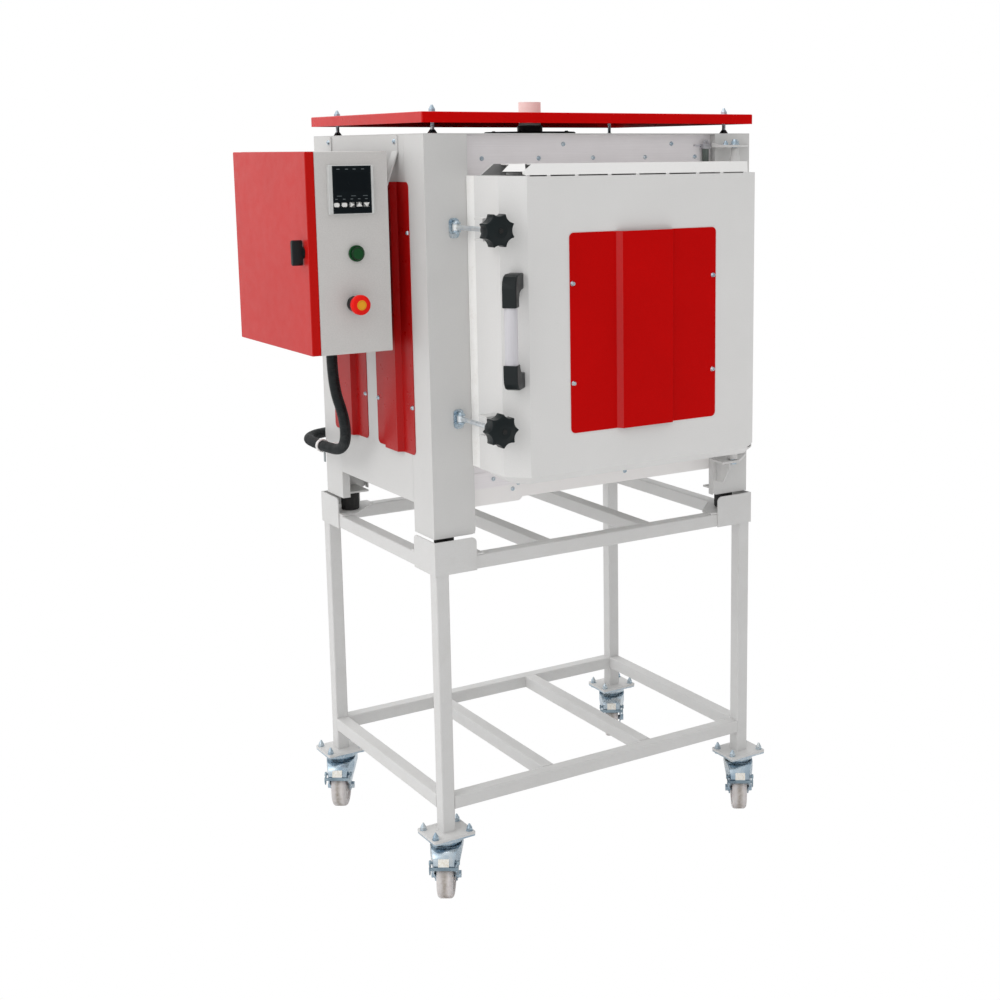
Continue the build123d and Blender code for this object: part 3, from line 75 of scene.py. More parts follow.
# ------------------------------------------------------------------ node helpers
class Mat:
    """A small wrapper for building node materials."""

    def __init__(self, name):
        self.m = bpy.data.materials.new(name)
        self.m.use_nodes = True
        self.t = self.m.node_tree
        self.t.nodes.clear()
        self.out = self.n("ShaderNodeOutputMaterial")
        self.b = self.n("ShaderNodeBsdfPrincipled")
        self.t.links.new(self.b.outputs["BSDF"], self.out.inputs["Surface"])
        self.tc = self.n("ShaderNodeTexCoord").outputs["Object"]

    def n(self, kind, **kw):
        nd = self.t.nodes.new(kind)
        for k, v in kw.items():
            setattr(nd, k, v)
        return nd

    def link(self, a, b):
        self.t.links.new(a, b)

    def put(self, sock, v):
        if hasattr(v, "is_linked") or isinstance(v, bpy.types.NodeSocket):
            self.link(v, sock)
        else:
            if hasattr(sock.default_value, "__len__") and not hasattr(v, "__len__"):
                v = [v] * len(sock.default_value)
            if hasattr(sock.default_value, "__len__") and len(sock.default_value) == 4 and len(v) == 3:
                v = (*v, 1.0)
            sock.default_value = v

    def set(self, **kw):
        names = {"color": "Base Color", "rough": "Roughness", "metal": "Metallic", "coat": "Coat Weight", "coat_rough": "Coat Roughness",
                 "spec": "Specular IOR Level", "ior": "IOR", "aniso": "Anisotropic", "trans": "Transmission Weight", "sss": "Subsurface Weight",
                 "emit": "Emission Color", "emit_strength": "Emission Strength", "normal": "Normal", "sheen": "Sheen Weight", "sheen_rough": "Sheen Roughness"}
        for k, v in kw.items():
            self.put(self.b.inputs[names[k]], v)

    def map(self, vec=None, loc=(0, 0, 0), rot=(0, 0, 0), scale=(1, 1, 1), kind="POINT"):
        nd = self.n("ShaderNodeMapping", vector_type=kind)
        self.link(vec or self.tc, nd.inputs["Vector"])
        nd.inputs["Location"].default_value = loc
        nd.inputs["Rotation"].default_value = rot
        nd.inputs["Scale"].default_value = scale
        return nd.outputs["Vector"]

    def noise(self, scale, detail=3.0, rough=0.5, vec=None, dist=0.0, kind=None):
        nd = self.n("ShaderNodeTexNoise")
        if kind:
            nd.noise_type = kind
        self.link(vec or self.tc, nd.inputs["Vector"])
        nd.inputs["Scale"].default_value = scale
        nd.inputs["Detail"].default_value = detail
        nd.inputs["Roughness"].default_value = rough
        nd.inputs["Distortion"].default_value = dist
        return nd.outputs["Fac"]

    def voronoi(self, scale, vec=None, feature="F1", out="Distance"):
        nd = self.n("ShaderNodeTexVoronoi", feature=feature)
        self.link(vec or self.tc, nd.inputs["Vector"])
        nd.inputs["Scale"].default_value = scale
        return nd.outputs[out]

    def ramp(self, fac, stops, interp="LINEAR"):
        nd = self.n("ShaderNodeValToRGB")
        nd.color_ramp.interpolation = interp
        e = nd.color_ramp.elements
        while len(e) < len(stops):
            e.new(0.5)
        for el, (p, c) in zip(e, stops):
            el.position = p
            el.color = (*c, 1.0) if hasattr(c, "__len__") and len(c) == 3 else ((c, c, c, 1.0) if not hasattr(c, "__len__") else c)
        self.link(fac, nd.inputs["Fac"])
        return nd.outputs["Color"]

    def remap(self, v, a, b, c, d, clamp=True):
        nd = self.n("ShaderNodeMapRange", clamp=clamp)
        self.link(v, nd.inputs["Value"])
        for k, x in zip(("From Min", "From Max", "To Min", "To Max"), (a, b, c, d)):
            nd.inputs[k].default_value = x
        return nd.outputs["Result"]

    def math(self, op, a, b=0.0, c=None):
        nd = self.n("ShaderNodeMath", operation=op)
        self.put(nd.inputs[0], a)
        self.put(nd.inputs[1], b)
        if c is not None:
            self.put(nd.inputs[2], c)
        return nd.outputs[0]

    def mix(self, fac, a, b, blend="MIX"):
        nd = self.n("ShaderNodeMix", data_type="RGBA", blend_type=blend)
        self.put(nd.inputs[0], fac)
        self.put(nd.inputs[6], a)
        self.put(nd.inputs[7], b)
        return nd.outputs[2]

    def bump(self, height, dist, strength=1.0, normal=None):
        nd = self.n("ShaderNodeBump")
        nd.inputs["Strength"].default_value = strength
        nd.inputs["Distance"].default_value = dist
        self.link(height, nd.inputs["Height"])
        if normal is not None:
            self.link(normal, nd.inputs["Normal"])
        return nd.outputs["Normal"]

    def xyz(self, vec=None):
        nd = self.n("ShaderNodeSeparateXYZ")
        self.link(vec or self.tc, nd.inputs[0])
        return nd.outputs[0], nd.outputs[1], nd.outputs[2]

    def edge(self, lo=0.52, hi=0.60):
        """1 on convex edges, 0 on flats, from the mesh's own curvature."""
        g = self.n("ShaderNodeNewGeometry")
        return self.remap(g.outputs["Pointiness"], lo, hi, 0.0, 1.0)


def shade(c, k):
    return tuple(min(1.0, x * k) for x in c)


# ------------------------------------------------------------------ materials
def painted(name, color, rough=0.36, peel=0.00006, mottle=0.03, speck=0.02, coat=0.0, dust=0.0, grain=1600.0, spec=0.5, side_spec=None):
    """Stoved powder coat: fine orange peel, faint cloudiness, tiny specks and handling marks."""
    m = Mat(name)
    cloud = m.noise(5.0, 4.0, 0.55)
    fine = m.noise(420.0, 3.0, 0.6)
    col = m.mix(m.remap(cloud, 0.3, 0.7, 0.0, 1.0), shade(color, 1 - mottle), shade(color, 1 + mottle))
    col = m.mix(m.remap(fine, 0.35, 0.75, 0.0, 1.0), col, m.mix(1.0, col, (1 - 3 * speck,) * 3, "MULTIPLY"))
    mark = m.remap(m.noise(30.0, 6.0, 0.75, dist=0.5), 0.66, 0.74, 0.0, 0.10)
    col = m.mix(mark, col, shade(color, 0.6))
    if dust:
        low = m.math("MULTIPLY", m.remap(m.noise(16.0, 5.0, 0.7), 0.45, 0.7, 0.0, 1.0), dust)
        col = m.mix(low, col, (0.44, 0.42, 0.38))
    r = m.remap(m.noise(38.0, 4.0, 0.6), 0.25, 0.75, rough - 0.05, rough + 0.07)
    h = m.math("ADD", m.math("MULTIPLY", m.noise(grain, 2.0, 0.5), 1.0), m.math("MULTIPLY", m.noise(grain * 0.28, 2.0, 0.5), 1.6))
    m.set(color=col, rough=r, normal=m.bump(h, peel, 1.0))
    if side_spec is None:
        m.set(spec=spec)
    else:
        nx = m.xyz(m.n("ShaderNodeNewGeometry").outputs["Normal"])[0]
        m.set(spec=m.remap(m.math("MULTIPLY", nx, -1.0), 0.1, 0.6, spec, side_spec))
    if coat:
        m.set(coat=coat, coat_rough=0.12)
    return m.m


def stainless():
    """Brushed sheet: long streaks along X, cloudy reflections, a few finger marks."""
    m = Mat("stainless_brushed")
    v = m.map(scale=(6.0, 1.0, 900.0))
    streak = m.noise(1.0, 5.0, 0.65, v)
    v2 = m.map(scale=(22.0, 1.0, 2600.0))
    hair = m.noise(1.0, 3.0, 0.6, v2)
    cloud = m.noise(7.0, 4.0, 0.6)
    col = m.ramp(m.math("ADD", m.math("MULTIPLY", streak, 0.5), m.math("MULTIPLY", cloud, 0.5)),
                 [(0.30, (0.78, 0.75, 0.765)), (0.55, (0.86, 0.83, 0.845)), (0.75, (0.91, 0.885, 0.895))])
    z = m.xyz()[2]
    low = m.remap(z, 0.868, 0.874, 1.0, 0.0)                 # the lip under the door catches the light
    col = m.mix(low, col, (0.88, 0.86, 0.85))
    smear = m.remap(m.noise(24.0, 5.0, 0.7, dist=0.6), 0.55, 0.7, 0.0, 1.0)
    r = m.math("ADD", m.remap(hair, 0.2, 0.8, 0.40, 0.56), m.math("MULTIPLY", smear, 0.10))
    m.set(color=col, metal=0.25, rough=r, aniso=0.5, normal=m.bump(m.math("ADD", streak, hair), 0.00002, 0.7))
    return m.m


def zinc(name="zinc_plated", rough=0.24, tab=False):
    """Bright zinc with a bluish, here and there straw-coloured passivation and small handling marks."""
    m = Mat(name)
    a = m.noise(14.0, 3.0, 0.55, dist=0.6)
    b = m.noise(90.0, 3.0, 0.55)
    col = m.ramp(m.math("ADD", m.math("MULTIPLY", a, 0.8), m.math("MULTIPLY", b, 0.2)),
                 [(0.30, (0.27, 0.37, 0.46)), (0.47, (0.42, 0.52, 0.60)), (0.60, (0.58, 0.64, 0.68)), (0.74, (0.66, 0.65, 0.60))])
    dark = m.remap(m.noise(70.0, 5.0, 0.75), 0.62, 0.74, 0.0, 0.30)
    col = m.mix(dark, col, (0.20, 0.21, 0.22))
    r = m.remap(m.noise(160.0, 4.0, 0.6), 0.25, 0.75, rough - 0.06, rough + 0.12)
    m.set(color=col, metal=1.0, rough=r, normal=m.bump(m.noise(300.0, 3.0, 0.6), 0.000006, 0.4))
    return m.m


def pedal_mat(name, centre, yaw):
    """Zinc brake lever with a pale worn foot tab."""
    m = Mat(name)
    x, y, z = m.xyz(m.map(loc=centre, rot=(0, 0, yaw), kind="TEXTURE"))      # x along the axle
    tab = m.math("MULTIPLY", m.remap(m.math("ABSOLUTE", x), 0.0116, 0.0120, 1.0, 0.0), m.remap(z, 0.0900, 0.0906, 0.0, 1.0))
    pale = m.mix(m.remap(m.noise(240.0, 4.0, 0.7), 0.4, 0.7, 0.0, 1.0), (0.92, 0.91, 0.87), (0.74, 0.68, 0.56))
    a = m.noise(16.0, 3.0, 0.55, dist=0.6)
    col = m.ramp(a, [(0.30, (0.16, 0.22, 0.27)), (0.55, (0.33, 0.42, 0.48)), (0.74, (0.46, 0.50, 0.50))])
    col = m.mix(tab, col, pale)
    m.set(color=col, metal=m.math("SUBTRACT", 1.0, m.math("MULTIPLY", tab, 0.85)), rough=m.remap(m.noise(160.0, 4.0, 0.6), 0.25, 0.75, 0.24, 0.42), normal=m.bump(m.noise(300.0, 3.0, 0.6), 0.000006, 0.4))
    return m.m


def switch_mat():
    """Dark sleeve with a grey metal collar, arm and ring on top; the sleeve runs from near-black at the bottom to dark
    grey at the top as painted shade.
    """
    m = Mat("switch_metal")
    z = m.xyz()[2]
    top = m.remap(z, 1.5700, 1.5708, 0.0, 1.0)
    a = m.noise(60.0, 4.0, 0.6)
    grey = m.mix(m.remap(a, 0.35, 0.65, 0.0, 1.0), (0.42, 0.42, 0.44), (0.58, 0.57, 0.60))
    # Painted shade: the sleeve is darker towards the bottom.
    sleeve = m.mix(m.remap(z, 1.515, 1.560, 0.0, 1.0), (0.006, 0.012, 0.010), (0.11, 0.13, 0.12))
    m.set(color=m.mix(top, sleeve, grey), metal=m.math("MULTIPLY", top, 0.6), rough=m.remap(a, 0.3, 0.7, 0.30, 0.45), normal=m.bump(m.noise(600.0, 3.0, 0.6), 0.00003, 0.5), spec=0.3)
    return m.m


def plastic(name, color, rough=0.42, grain=900.0, depth=0.00004, spec=0.5, scuff=0.12, scuff_color=None, sss=0.0, tint=None):
    """Moulded plastic: fine spark-eroded grain, faint flow marks and a few rubbed spots. tint(m, col) may paint on it."""
    m = Mat(name)
    flow = m.noise(14.0, 3.0, 0.5, dist=0.5)
    col = m.mix(m.remap(flow, 0.3, 0.7, 0.0, 1.0), shade(color, 0.88), shade(color, 1.12))
    sc = scuff_color or tuple(min(1.0, c * 1.5 + 0.03) for c in color)
    worn = m.remap(m.noise(120.0, 6.0, 0.75), 0.62, 0.74, 0.0, scuff)
    col = m.mix(worn, col, sc)
    if tint:
        col = tint(m, col)
    r = m.remap(m.noise(60.0, 4.0, 0.6), 0.25, 0.75, rough - 0.07, rough + 0.09)
    h = m.math("ADD", m.noise(grain, 2.0, 0.5), m.math("MULTIPLY", m.noise(grain * 0.2, 2.0, 0.5), 0.6))
    m.set(color=col, rough=r, spec=spec, normal=m.bump(h, depth, 0.8))
    if sss:
        m.b.inputs["Subsurface Weight"].default_value = sss
        m.b.inputs["Subsurface Radius"].default_value = (0.003, 0.002, 0.0015)
    return m.m


def radial(m, cx, cz):
    """Distance in mm from a line along Y through a point of the front, and the two offsets in mm."""
    x, y, z = m.xyz()
    c = P(cx, 0, cz)
    dx = m.math("MULTIPLY", m.math("SUBTRACT", x, c.x), 1000.0)
    dz = m.math("MULTIPLY", m.math("SUBTRACT", z, c.z), 1000.0)
    return m.math("SQRT", m.math("ADD", m.math("MULTIPLY", dx, dx), m.math("MULTIPLY", dz, dz))), dx, dz


def ring(m, r, a, b, soft=0.25):
    """1 between radii a and b."""
    return m.math("MULTIPLY", m.remap(r, a - soft, a + soft, 0.0, 1.0), m.remap(r, b - soft, b + soft, 1.0, 0.0))


def bar(m, v, a, b, soft=0.2):
    return m.math("MULTIPLY", m.remap(v, a - soft, a + soft, 0.0, 1.0), m.remap(v, b - soft, b + soft, 1.0, 0.0))


def lamp_tint(m, col):
    r, dx, dz = radial(m, -523.0, 1370.0)
    ribs = m.remap(m.math("SINE", m.math("MULTIPLY", r, 2.6)), -1.0, 1.0, 0.0, 1.0)
    col = m.mix(m.math("MULTIPLY", ribs, 0.5), col, (0.004, 0.085, 0.016))
    col = m.mix(ring(m, r, 10.6, 13.6), col, (0.001, 0.028, 0.006))
    return m.mix(ring(m, r, 14.0, 17.0), col, (0.004, 0.07, 0.016))


def stop_tint(m, col):
    r, dx, dz = radial(m, -531.0, 1270.0)
    y = m.xyz()[1]
    front = m.remap(y, P(0, -233.5, 0).y, P(0, -232.5, 0).y, 1.0, 0.0)
    disc = m.math("MULTIPLY", m.remap(r, 9.6, 10.1, 1.0, 0.0), front)
    col = m.mix(disc, col, (0.80, 0.36, 0.02))
    line = m.math("MULTIPLY", ring(m, r, 7.4, 8.1, 0.15), front)
    return m.mix(m.math("MULTIPLY", line, 0.35), col, (0.20, 0.10, 0.02))


def face_tint(m, col):
    """Dark panel with a display window and small plain marks above the keys."""
    r, dx, dz = radial(m, -531.0, 1495.5)
    win = m.math("MULTIPLY", bar(m, dx, -33, 35), bar(m, dz, -3, 34))
    col = m.mix(m.math("MULTIPLY", win, 0.8), col, (0.0015, 0.004, 0.006))
    for k, d in enumerate((-32.5, -16.2, 0.0, 15.6, 31.0)):
        mark = m.math("MULTIPLY", bar(m, dx, d - 2.6, d + 2.6), bar(m, dz, -18.6, -17.6))
        col = m.mix(m.math("MULTIPLY", mark, 0.6), col, (0.30, 0.34, 0.35))
    for d in (-27.0, -9.0, 7.0, 25.0):
        tick = m.math("MULTIPLY", bar(m, dx, d - 3.2, d + 3.2), bar(m, dz, 39.4, 40.6))
        col = m.mix(m.math("MULTIPLY", tick, 0.55), col, (0.30, 0.34, 0.35))
    for d in (-26.0, 4.0, 29.0):
        tick = m.math("MULTIPLY", bar(m, dx, d - 5.0, d + 5.0), bar(m, dz, -12.6, -11.4))
        col = m.mix(m.math("MULTIPLY", tick, 0.5), col, (0.22, 0.26, 0.27))
    edge = m.math("MULTIPLY", m.math("SUBTRACT", 1.0, m.math("MULTIPLY", bar(m, dx, -38.4, 40.8), bar(m, dz, -45.0, 45.0))), 0.5)
    return m.mix(edge, col, (0.03, 0.04, 0.045))


def fibre():
    """Vacuum-formed ceramic fibre: chalky, slightly felted, with soft pits and a warm tint in the hollows."""
    m = Mat("ceramic_fibre")
    v = m.map(scale=(1.0, 1.0, 1.0))
    felt = m.noise(220.0, 6.0, 0.72, dist=1.4)
    hair = m.noise(900.0, 3.0, 0.6, dist=2.0)
    lump = m.noise(26.0, 4.0, 0.6)
    col = m.ramp(m.math("ADD", m.math("MULTIPLY", felt, 0.6), m.math("MULTIPLY", lump, 0.4)),
                 [(0.28, (0.80, 0.77, 0.73)), (0.48, (0.93, 0.92, 0.90)), (0.70, (0.97, 0.965, 0.955))])
    h = m.math("ADD", m.math("MULTIPLY", felt, 1.0), m.math("ADD", m.math("MULTIPLY", hair, 0.25), m.math("MULTIPLY", lump, 1.4)))
    m.set(color=col, rough=0.92, spec=0.2, normal=m.bump(h, 0.0007, 0.8), sheen=0.2)
    return m.m


def brick():
    """Insulating firebrick: buff, full of small pores, darker specks of burnt-out filler."""
    m = Mat("insulating_brick")
    pores = m.voronoi(420.0)
    pits = m.remap(pores, 0.10, 0.32, 0.0, 1.0)
    blot = m.noise(12.0, 5.0, 0.6)
    speck = m.remap(m.noise(600.0, 2.0, 0.5), 0.66, 0.72, 0.0, 1.0)
    col = m.mix(blot, (0.70, 0.58, 0.42), (0.86, 0.79, 0.66))
    col = m.mix(speck, col, (0.36, 0.25, 0.16))
    col = m.mix(m.math("SUBTRACT", 1.0, pits), col, (0.52, 0.43, 0.31))
    m.set(color=col, rough=0.95, spec=0.15, normal=m.bump(m.math("ADD", pits, m.noise(160.0, 4.0, 0.6)), 0.0008, 0.8))
    return m.m


def ceramic(name, c0, c1, scale=180.0, rough=0.7, depth=0.0002):
    m = Mat(name)
    a = m.noise(scale, 5.0, 0.65)
    b = m.noise(scale * 0.08, 4.0, 0.6)
    col = m.mix(m.remap(m.math("ADD", m.math("MULTIPLY", a, 0.4), m.math("MULTIPLY", b, 0.6)), 0.3, 0.7, 0.0, 1.0), c0, c1)
    m.set(color=col, rough=m.remap(a, 0.3, 0.7, rough - 0.1, rough + 0.12), spec=0.35, normal=m.bump(a, depth, 0.7))
    return m.m


def element():
    m = Mat("element_wire")
    a = m.noise(300.0, 4.0, 0.7)
    col = m.ramp(a, [(0.3, (0.07, 0.065, 0.06)), (0.5, (0.20, 0.18, 0.17)), (0.72, (0.33, 0.29, 0.25))])
    m.set(color=col, metal=0.5, rough=m.remap(a, 0.3, 0.7, 0.5, 0.75), normal=m.bump(m.noise(900.0, 3.0, 0.6), 0.0001, 0.8))
    return m.m


def rubber():
    m = Mat("foot_rubber")
    a = m.noise(120.0, 5.0, 0.65)
    col = m.ramp(a, [(0.3, (0.012, 0.012, 0.013)), (0.7, (0.035, 0.034, 0.033))])
    m.set(color=col, rough=m.remap(a, 0.3, 0.7, 0.62, 0.82), spec=0.3, normal=m.bump(m.noise(1200.0, 3.0, 0.6), 0.00008, 0.8))
    return m.m


def wheel_mat(name, centre, yaw):
    """Cast polyamide wheel: off-white, scuffed rim, a grey-brown rolled-in dirt line round the tread."""
    m = Mat(name)
    v = m.map(loc=centre, rot=(0, 0, yaw), kind="TEXTURE")       # x along the axle, origin in the wheel's middle
    x, y, z = m.xyz(v)
    rad = m.math("SQRT", m.math("ADD", m.math("MULTIPLY", y, y), m.math("MULTIPLY", z, z)))
    wob = m.math("MULTIPLY", m.math("SUBTRACT", m.noise(60.0, 4.0, 0.6), 0.5), 0.010)
    line = m.remap(m.math("ABSOLUTE", m.math("ADD", x, wob)), 0.0015, 0.0085, 1.0, 0.0)
    tread = m.remap(rad, 0.0475, 0.0492, 0.0, 1.0)
    dirt = m.math("MULTIPLY", m.math("MULTIPLY", line, tread), m.remap(m.noise(140.0, 5.0, 0.7), 0.3, 0.65, 0.25, 0.85))
    col = m.mix(m.remap(m.noise(40.0, 4.0, 0.6), 0.3, 0.7, 0.0, 1.0), (0.60, 0.56, 0.55), (0.72, 0.69, 0.68))
    col = m.mix(dirt, col, (0.26, 0.22, 0.17))
    spots = m.math("MULTIPLY", m.remap(m.noise(330.0, 4.0, 0.7), 0.62, 0.74, 0.0, 0.7), tread)
    col = m.mix(spots, col, (0.33, 0.30, 0.27))
    m.set(color=col, rough=m.remap(m.noise(90.0, 4.0, 0.6), 0.3, 0.7, 0.36, 0.58), normal=m.bump(m.noise(500.0, 4.0, 0.6), 0.00012, 0.7))
    m.b.inputs["Subsurface Weight"].default_value = 0.12
    m.b.inputs["Subsurface Radius"].default_value = (0.004, 0.003, 0.0025)
    return m.m


GREY = (0.645, 0.641, 0.632)
STAND = (0.675, 0.672, 0.665)
RED = (0.56, 0.0012, 0.0012)


def handle_tint(m, col):
    """The straight grip is satin aluminium, the two ends are black plastic."""
    z = m.xyz()[2]
    grip = m.math("MULTIPLY", m.remap(z, 1.1597, 1.1601, 0.0, 1.0), m.remap(z, 1.2709, 1.2713, 1.0, 0.0))
    lines = m.noise(1.0, 3.0, 0.6, m.map(scale=(700.0, 700.0, 9.0)))
    return m.mix(grip, col, m.mix(lines, (0.52, 0.51, 0.54), (0.68, 0.67, 0.70)))


def clip_tint(m, col):
    """The clip round the conduit is white plastic, the glands are black."""
    x, y, z = m.xyz()
    near = m.math("MULTIPLY", m.remap(y, P(0, 164, 0).y, P(0, 165, 0).y, 0.0, 1.0), m.remap(y, P(0, 187, 0).y, P(0, 188, 0).y, 1.0, 0.0))
    strap = m.remap(z, 0.8985, 0.8990, 0.0, 1.0)
    col = m.mix(near, col, (0.80, 0.78, 0.77))
    return m.mix(m.math("MULTIPLY", near, m.math("SUBTRACT", 1.0, strap)), col, (0.30, 0.33, 0.34))


def wire_tint(m, col):
    return m.mix(m.remap(m.noise(55.0, 4.0, 0.6), 0.45, 0.7, 0.0, 0.4), col, (0.035, 0.037, 0.038))


def bolt_metal():
    """Plated rod whose far end, inside the knob, is coloured near-black as painted shade for the knob's centre hole."""
    m = Mat("swing_bolt_metal")
    y = m.xyz()[1]
    # Painted shade: the rod's front end is near-black so the knob's centre hole reads dark.
    hole_shade = m.remap(y, P(0, -440, 0).y, P(0, -438, 0).y, 1.0, 0.0)
    a_ = m.noise(34.0, 4.0, 0.6, dist=0.8)
    thread = m.math("SINE", m.math("MULTIPLY", y, 4200.0))
    col = m.ramp(a_, [(0.30, (0.62, 0.68, 0.73)), (0.50, (0.80, 0.84, 0.87)), (0.74, (0.84, 0.83, 0.78))])
    col = m.mix(hole_shade, col, (0.0015, 0.002, 0.002))
    m.set(color=col, metal=m.math("SUBTRACT", 1.0, hole_shade), rough=m.remap(m.noise(220.0, 4.0, 0.6), 0.25, 0.75, 0.25, 0.42), normal=m.bump(thread, 0.00012, 0.5), spec=0.4)
    return m.m


def cover_paint():
    """Red outside; the surfaces that face down are coloured near-black as painted shade."""
    mat = painted("top_red_coat_shaded_below", (0.62, 0.002, 0.002), 0.30, 0.00004, 0.05, 0.03, spec=0.03, side_spec=0.32)
    t = mat.node_tree
    b = next(n for n in t.nodes if n.type == "BSDF_PRINCIPLED")
    src = b.inputs["Base Color"].links[0].from_socket
    g = t.nodes.new("ShaderNodeNewGeometry")
    sp = t.nodes.new("ShaderNodeSeparateXYZ")
    t.links.new(g.outputs["Normal"], sp.inputs[0])
    mr = t.nodes.new("ShaderNodeMapRange")
    t.links.new(sp.outputs[2], mr.inputs["Value"])
    for k, x in zip(("From Min", "From Max", "To Min", "To Max"), (-0.8, -0.5, 1.0, 0.0)):
        mr.inputs[k].default_value = x
    # Down-facing faces are mixed to near-black: painted shade under the cover.
    mx = t.nodes.new("ShaderNodeMix")
    mx.data_type = "RGBA"
    t.links.new(mr.outputs["Result"], mx.inputs[0])
    t.links.new(src, mx.inputs[6])
    mx.inputs[7].default_value = (0.02, 0.012, 0.012, 1.0)
    t.links.new(mx.outputs[2], b.inputs["Base Color"])
    return mat


M_BODY = painted("casing_paint", GREY, 0.42, 0.00005, 0.018, 0.012, spec=0.35)
# The door's grey is the casing grey made lighter: painted light on the door front.
M_DOOR = painted("door_paint_lit", (0.76, 0.755, 0.745), 0.42, 0.00005, 0.018, 0.012, spec=0.35)


def shade_cap(mat):
    """Painted shade inside the open end of the door's top cap: the rear wall there is coloured dark grey, and the deck
    and the faces that look down are near-black.
    """
    t = mat.node_tree
    bs = next(n for n in t.nodes if n.type == "BSDF_PRINCIPLED")
    src = bs.inputs["Base Color"].links[0].from_socket

    def nd(kind, op=None):
        x = t.nodes.new(kind)
        if op:
            x.operation = op
        return x

    def rng(sock, a_, b_, c_, d_):
        x = nd("ShaderNodeMapRange")
        t.links.new(sock, x.inputs["Value"])
        for k, v in zip(("From Min", "From Max", "To Min", "To Max"), (a_, b_, c_, d_)):
            x.inputs[k].default_value = v
        return x.outputs["Result"]

    def mul(p_, q_):
        x = nd("ShaderNodeMath", "MULTIPLY")
        t.links.new(p_, x.inputs[0])
        t.links.new(q_, x.inputs[1])
        return x.outputs[0]

    def over(fac, base, colour):
        x = nd("ShaderNodeMix")
        x.data_type = "RGBA"
        t.links.new(fac, x.inputs[0])
        t.links.new(base, x.inputs[6])
        x.inputs[7].default_value = (*colour, 1.0)
        return x.outputs[2]
    g = nd("ShaderNodeNewGeometry")
    sn = nd("ShaderNodeSeparateXYZ")
    t.links.new(g.outputs["Normal"], sn.inputs[0])
    tc = nd("ShaderNodeTexCoord")
    sp = nd("ShaderNodeSeparateXYZ")
    t.links.new(tc.outputs["Object"], sp.inputs[0])
    lid = rng(sp.outputs[2], 1.5213, 1.5217, 0.0, 1.0)
    left = rng(sp.outputs[0], P(-258, 0, 0).x, P(-256, 0, 0).x, 1.0, 0.0)
    wall = mul(mul(rng(sn.outputs[1], -0.97, -0.93, 1.0, 0.0), lid), left)
    c1 = over(wall, src, (0.23, 0.23, 0.23))
    deck = mul(mul(rng(sn.outputs[2], 0.95, 0.98, 0.0, 1.0), rng(sp.outputs[2], 1.5225, 1.5235, 1.0, 0.0)), rng(sp.outputs[2], 1.5195, 1.5200, 0.0, 1.0))
    c2 = over(mul(deck, left), c1, (0.02, 0.022, 0.022))
    under = mul(rng(sn.outputs[2], -0.6, -0.4, 1.0, 0.0), lid)
    c3 = over(under, c2, (0.03, 0.03, 0.03))
    t.links.new(c3, bs.inputs["Base Color"])
    return mat


M_DOOR = shade_cap(M_DOOR)
M_STAND = painted("stand_paint", STAND, 0.45, 0.00005, 0.02, 0.015, dust=0.10, spec=0.35)
M_CAB = painted("cabinet_paint", (0.64, 0.625, 0.61), 0.46, 0.00011, 0.012, 0.035, grain=1100.0, spec=0.35)
M_RED = painted("red_coat", RED, 0.34, 0.00004, 0.05, 0.03, spec=0.04, side_spec=0.4)
# The side vent covers get a darker copy of the red coat: painted shade.
M_RED_SHADED = painted("side_red_coat_shaded", (0.42, 0.002, 0.002), 0.30, 0.00004, 0.05, 0.03, spec=0.22)
M_REDCAB = painted("red_coat_textured", (0.56, 0.008, 0.006), 0.36, 0.00010, 0.03, 0.04, grain=1100.0, spec=0.05, side_spec=0.30)
M_TOP = cover_paint()
M_STEEL = stainless()
M_ZINC = zinc()
M_BOLT = bolt_metal()
M_BLACK = plastic("black_plastic", (0.0055, 0.009, 0.010), 0.42, spec=0.25)
M_HANDLE = plastic("handle_plastic", (0.006, 0.010, 0.011), 0.40, spec=0.3, tint=handle_tint)
M_CLIP = plastic("gland_plastic", (0.0055, 0.009, 0.010), 0.42, spec=0.25, tint=clip_tint)
M_CONDUIT = plastic("conduit_plastic", (0.004, 0.007, 0.008), 0.46, spec=0.25, tint=wire_tint)
M_KNOB = plastic("knob_plastic", (0.0045, 0.009, 0.010), 0.34, spec=0.22)
M_BLKPAINT = painted("black_paint", (0.020, 0.020, 0.022), 0.45, 0.00006, 0.1, 0.05)
M_FIBRE = fibre()
M_BRICK = brick()
M_SHELF = ceramic("shelf_ceramic", (0.52, 0.43, 0.32), (0.66, 0.58, 0.46))
M_TUBE = ceramic("vent_ceramic", (0.88, 0.86, 0.82), (0.97, 0.96, 0.93), 140.0)
M_ELEM = element()
M_RUBBER = rubber()
M_LIGHT = plastic("light_plastic", (0.60, 0.61, 0.60), 0.38)
M_FACE = plastic("panel_face", (0.003, 0.006, 0.008), 0.22, depth=0.00001, spec=0.10, tint=face_tint)
M_KEY = plastic("key_plastic", (0.78, 0.78, 0.76), 0.35)
M_STOP = plastic("stop_plastic", (0.82, 0.010, 0.006), 0.34, depth=0.00002, spec=0.12, tint=stop_tint)
M_GREEN = plastic("lamp_plastic", (0.001, 0.055, 0.011), 0.20, depth=0.00001, spec=0.22, tint=lamp_tint)

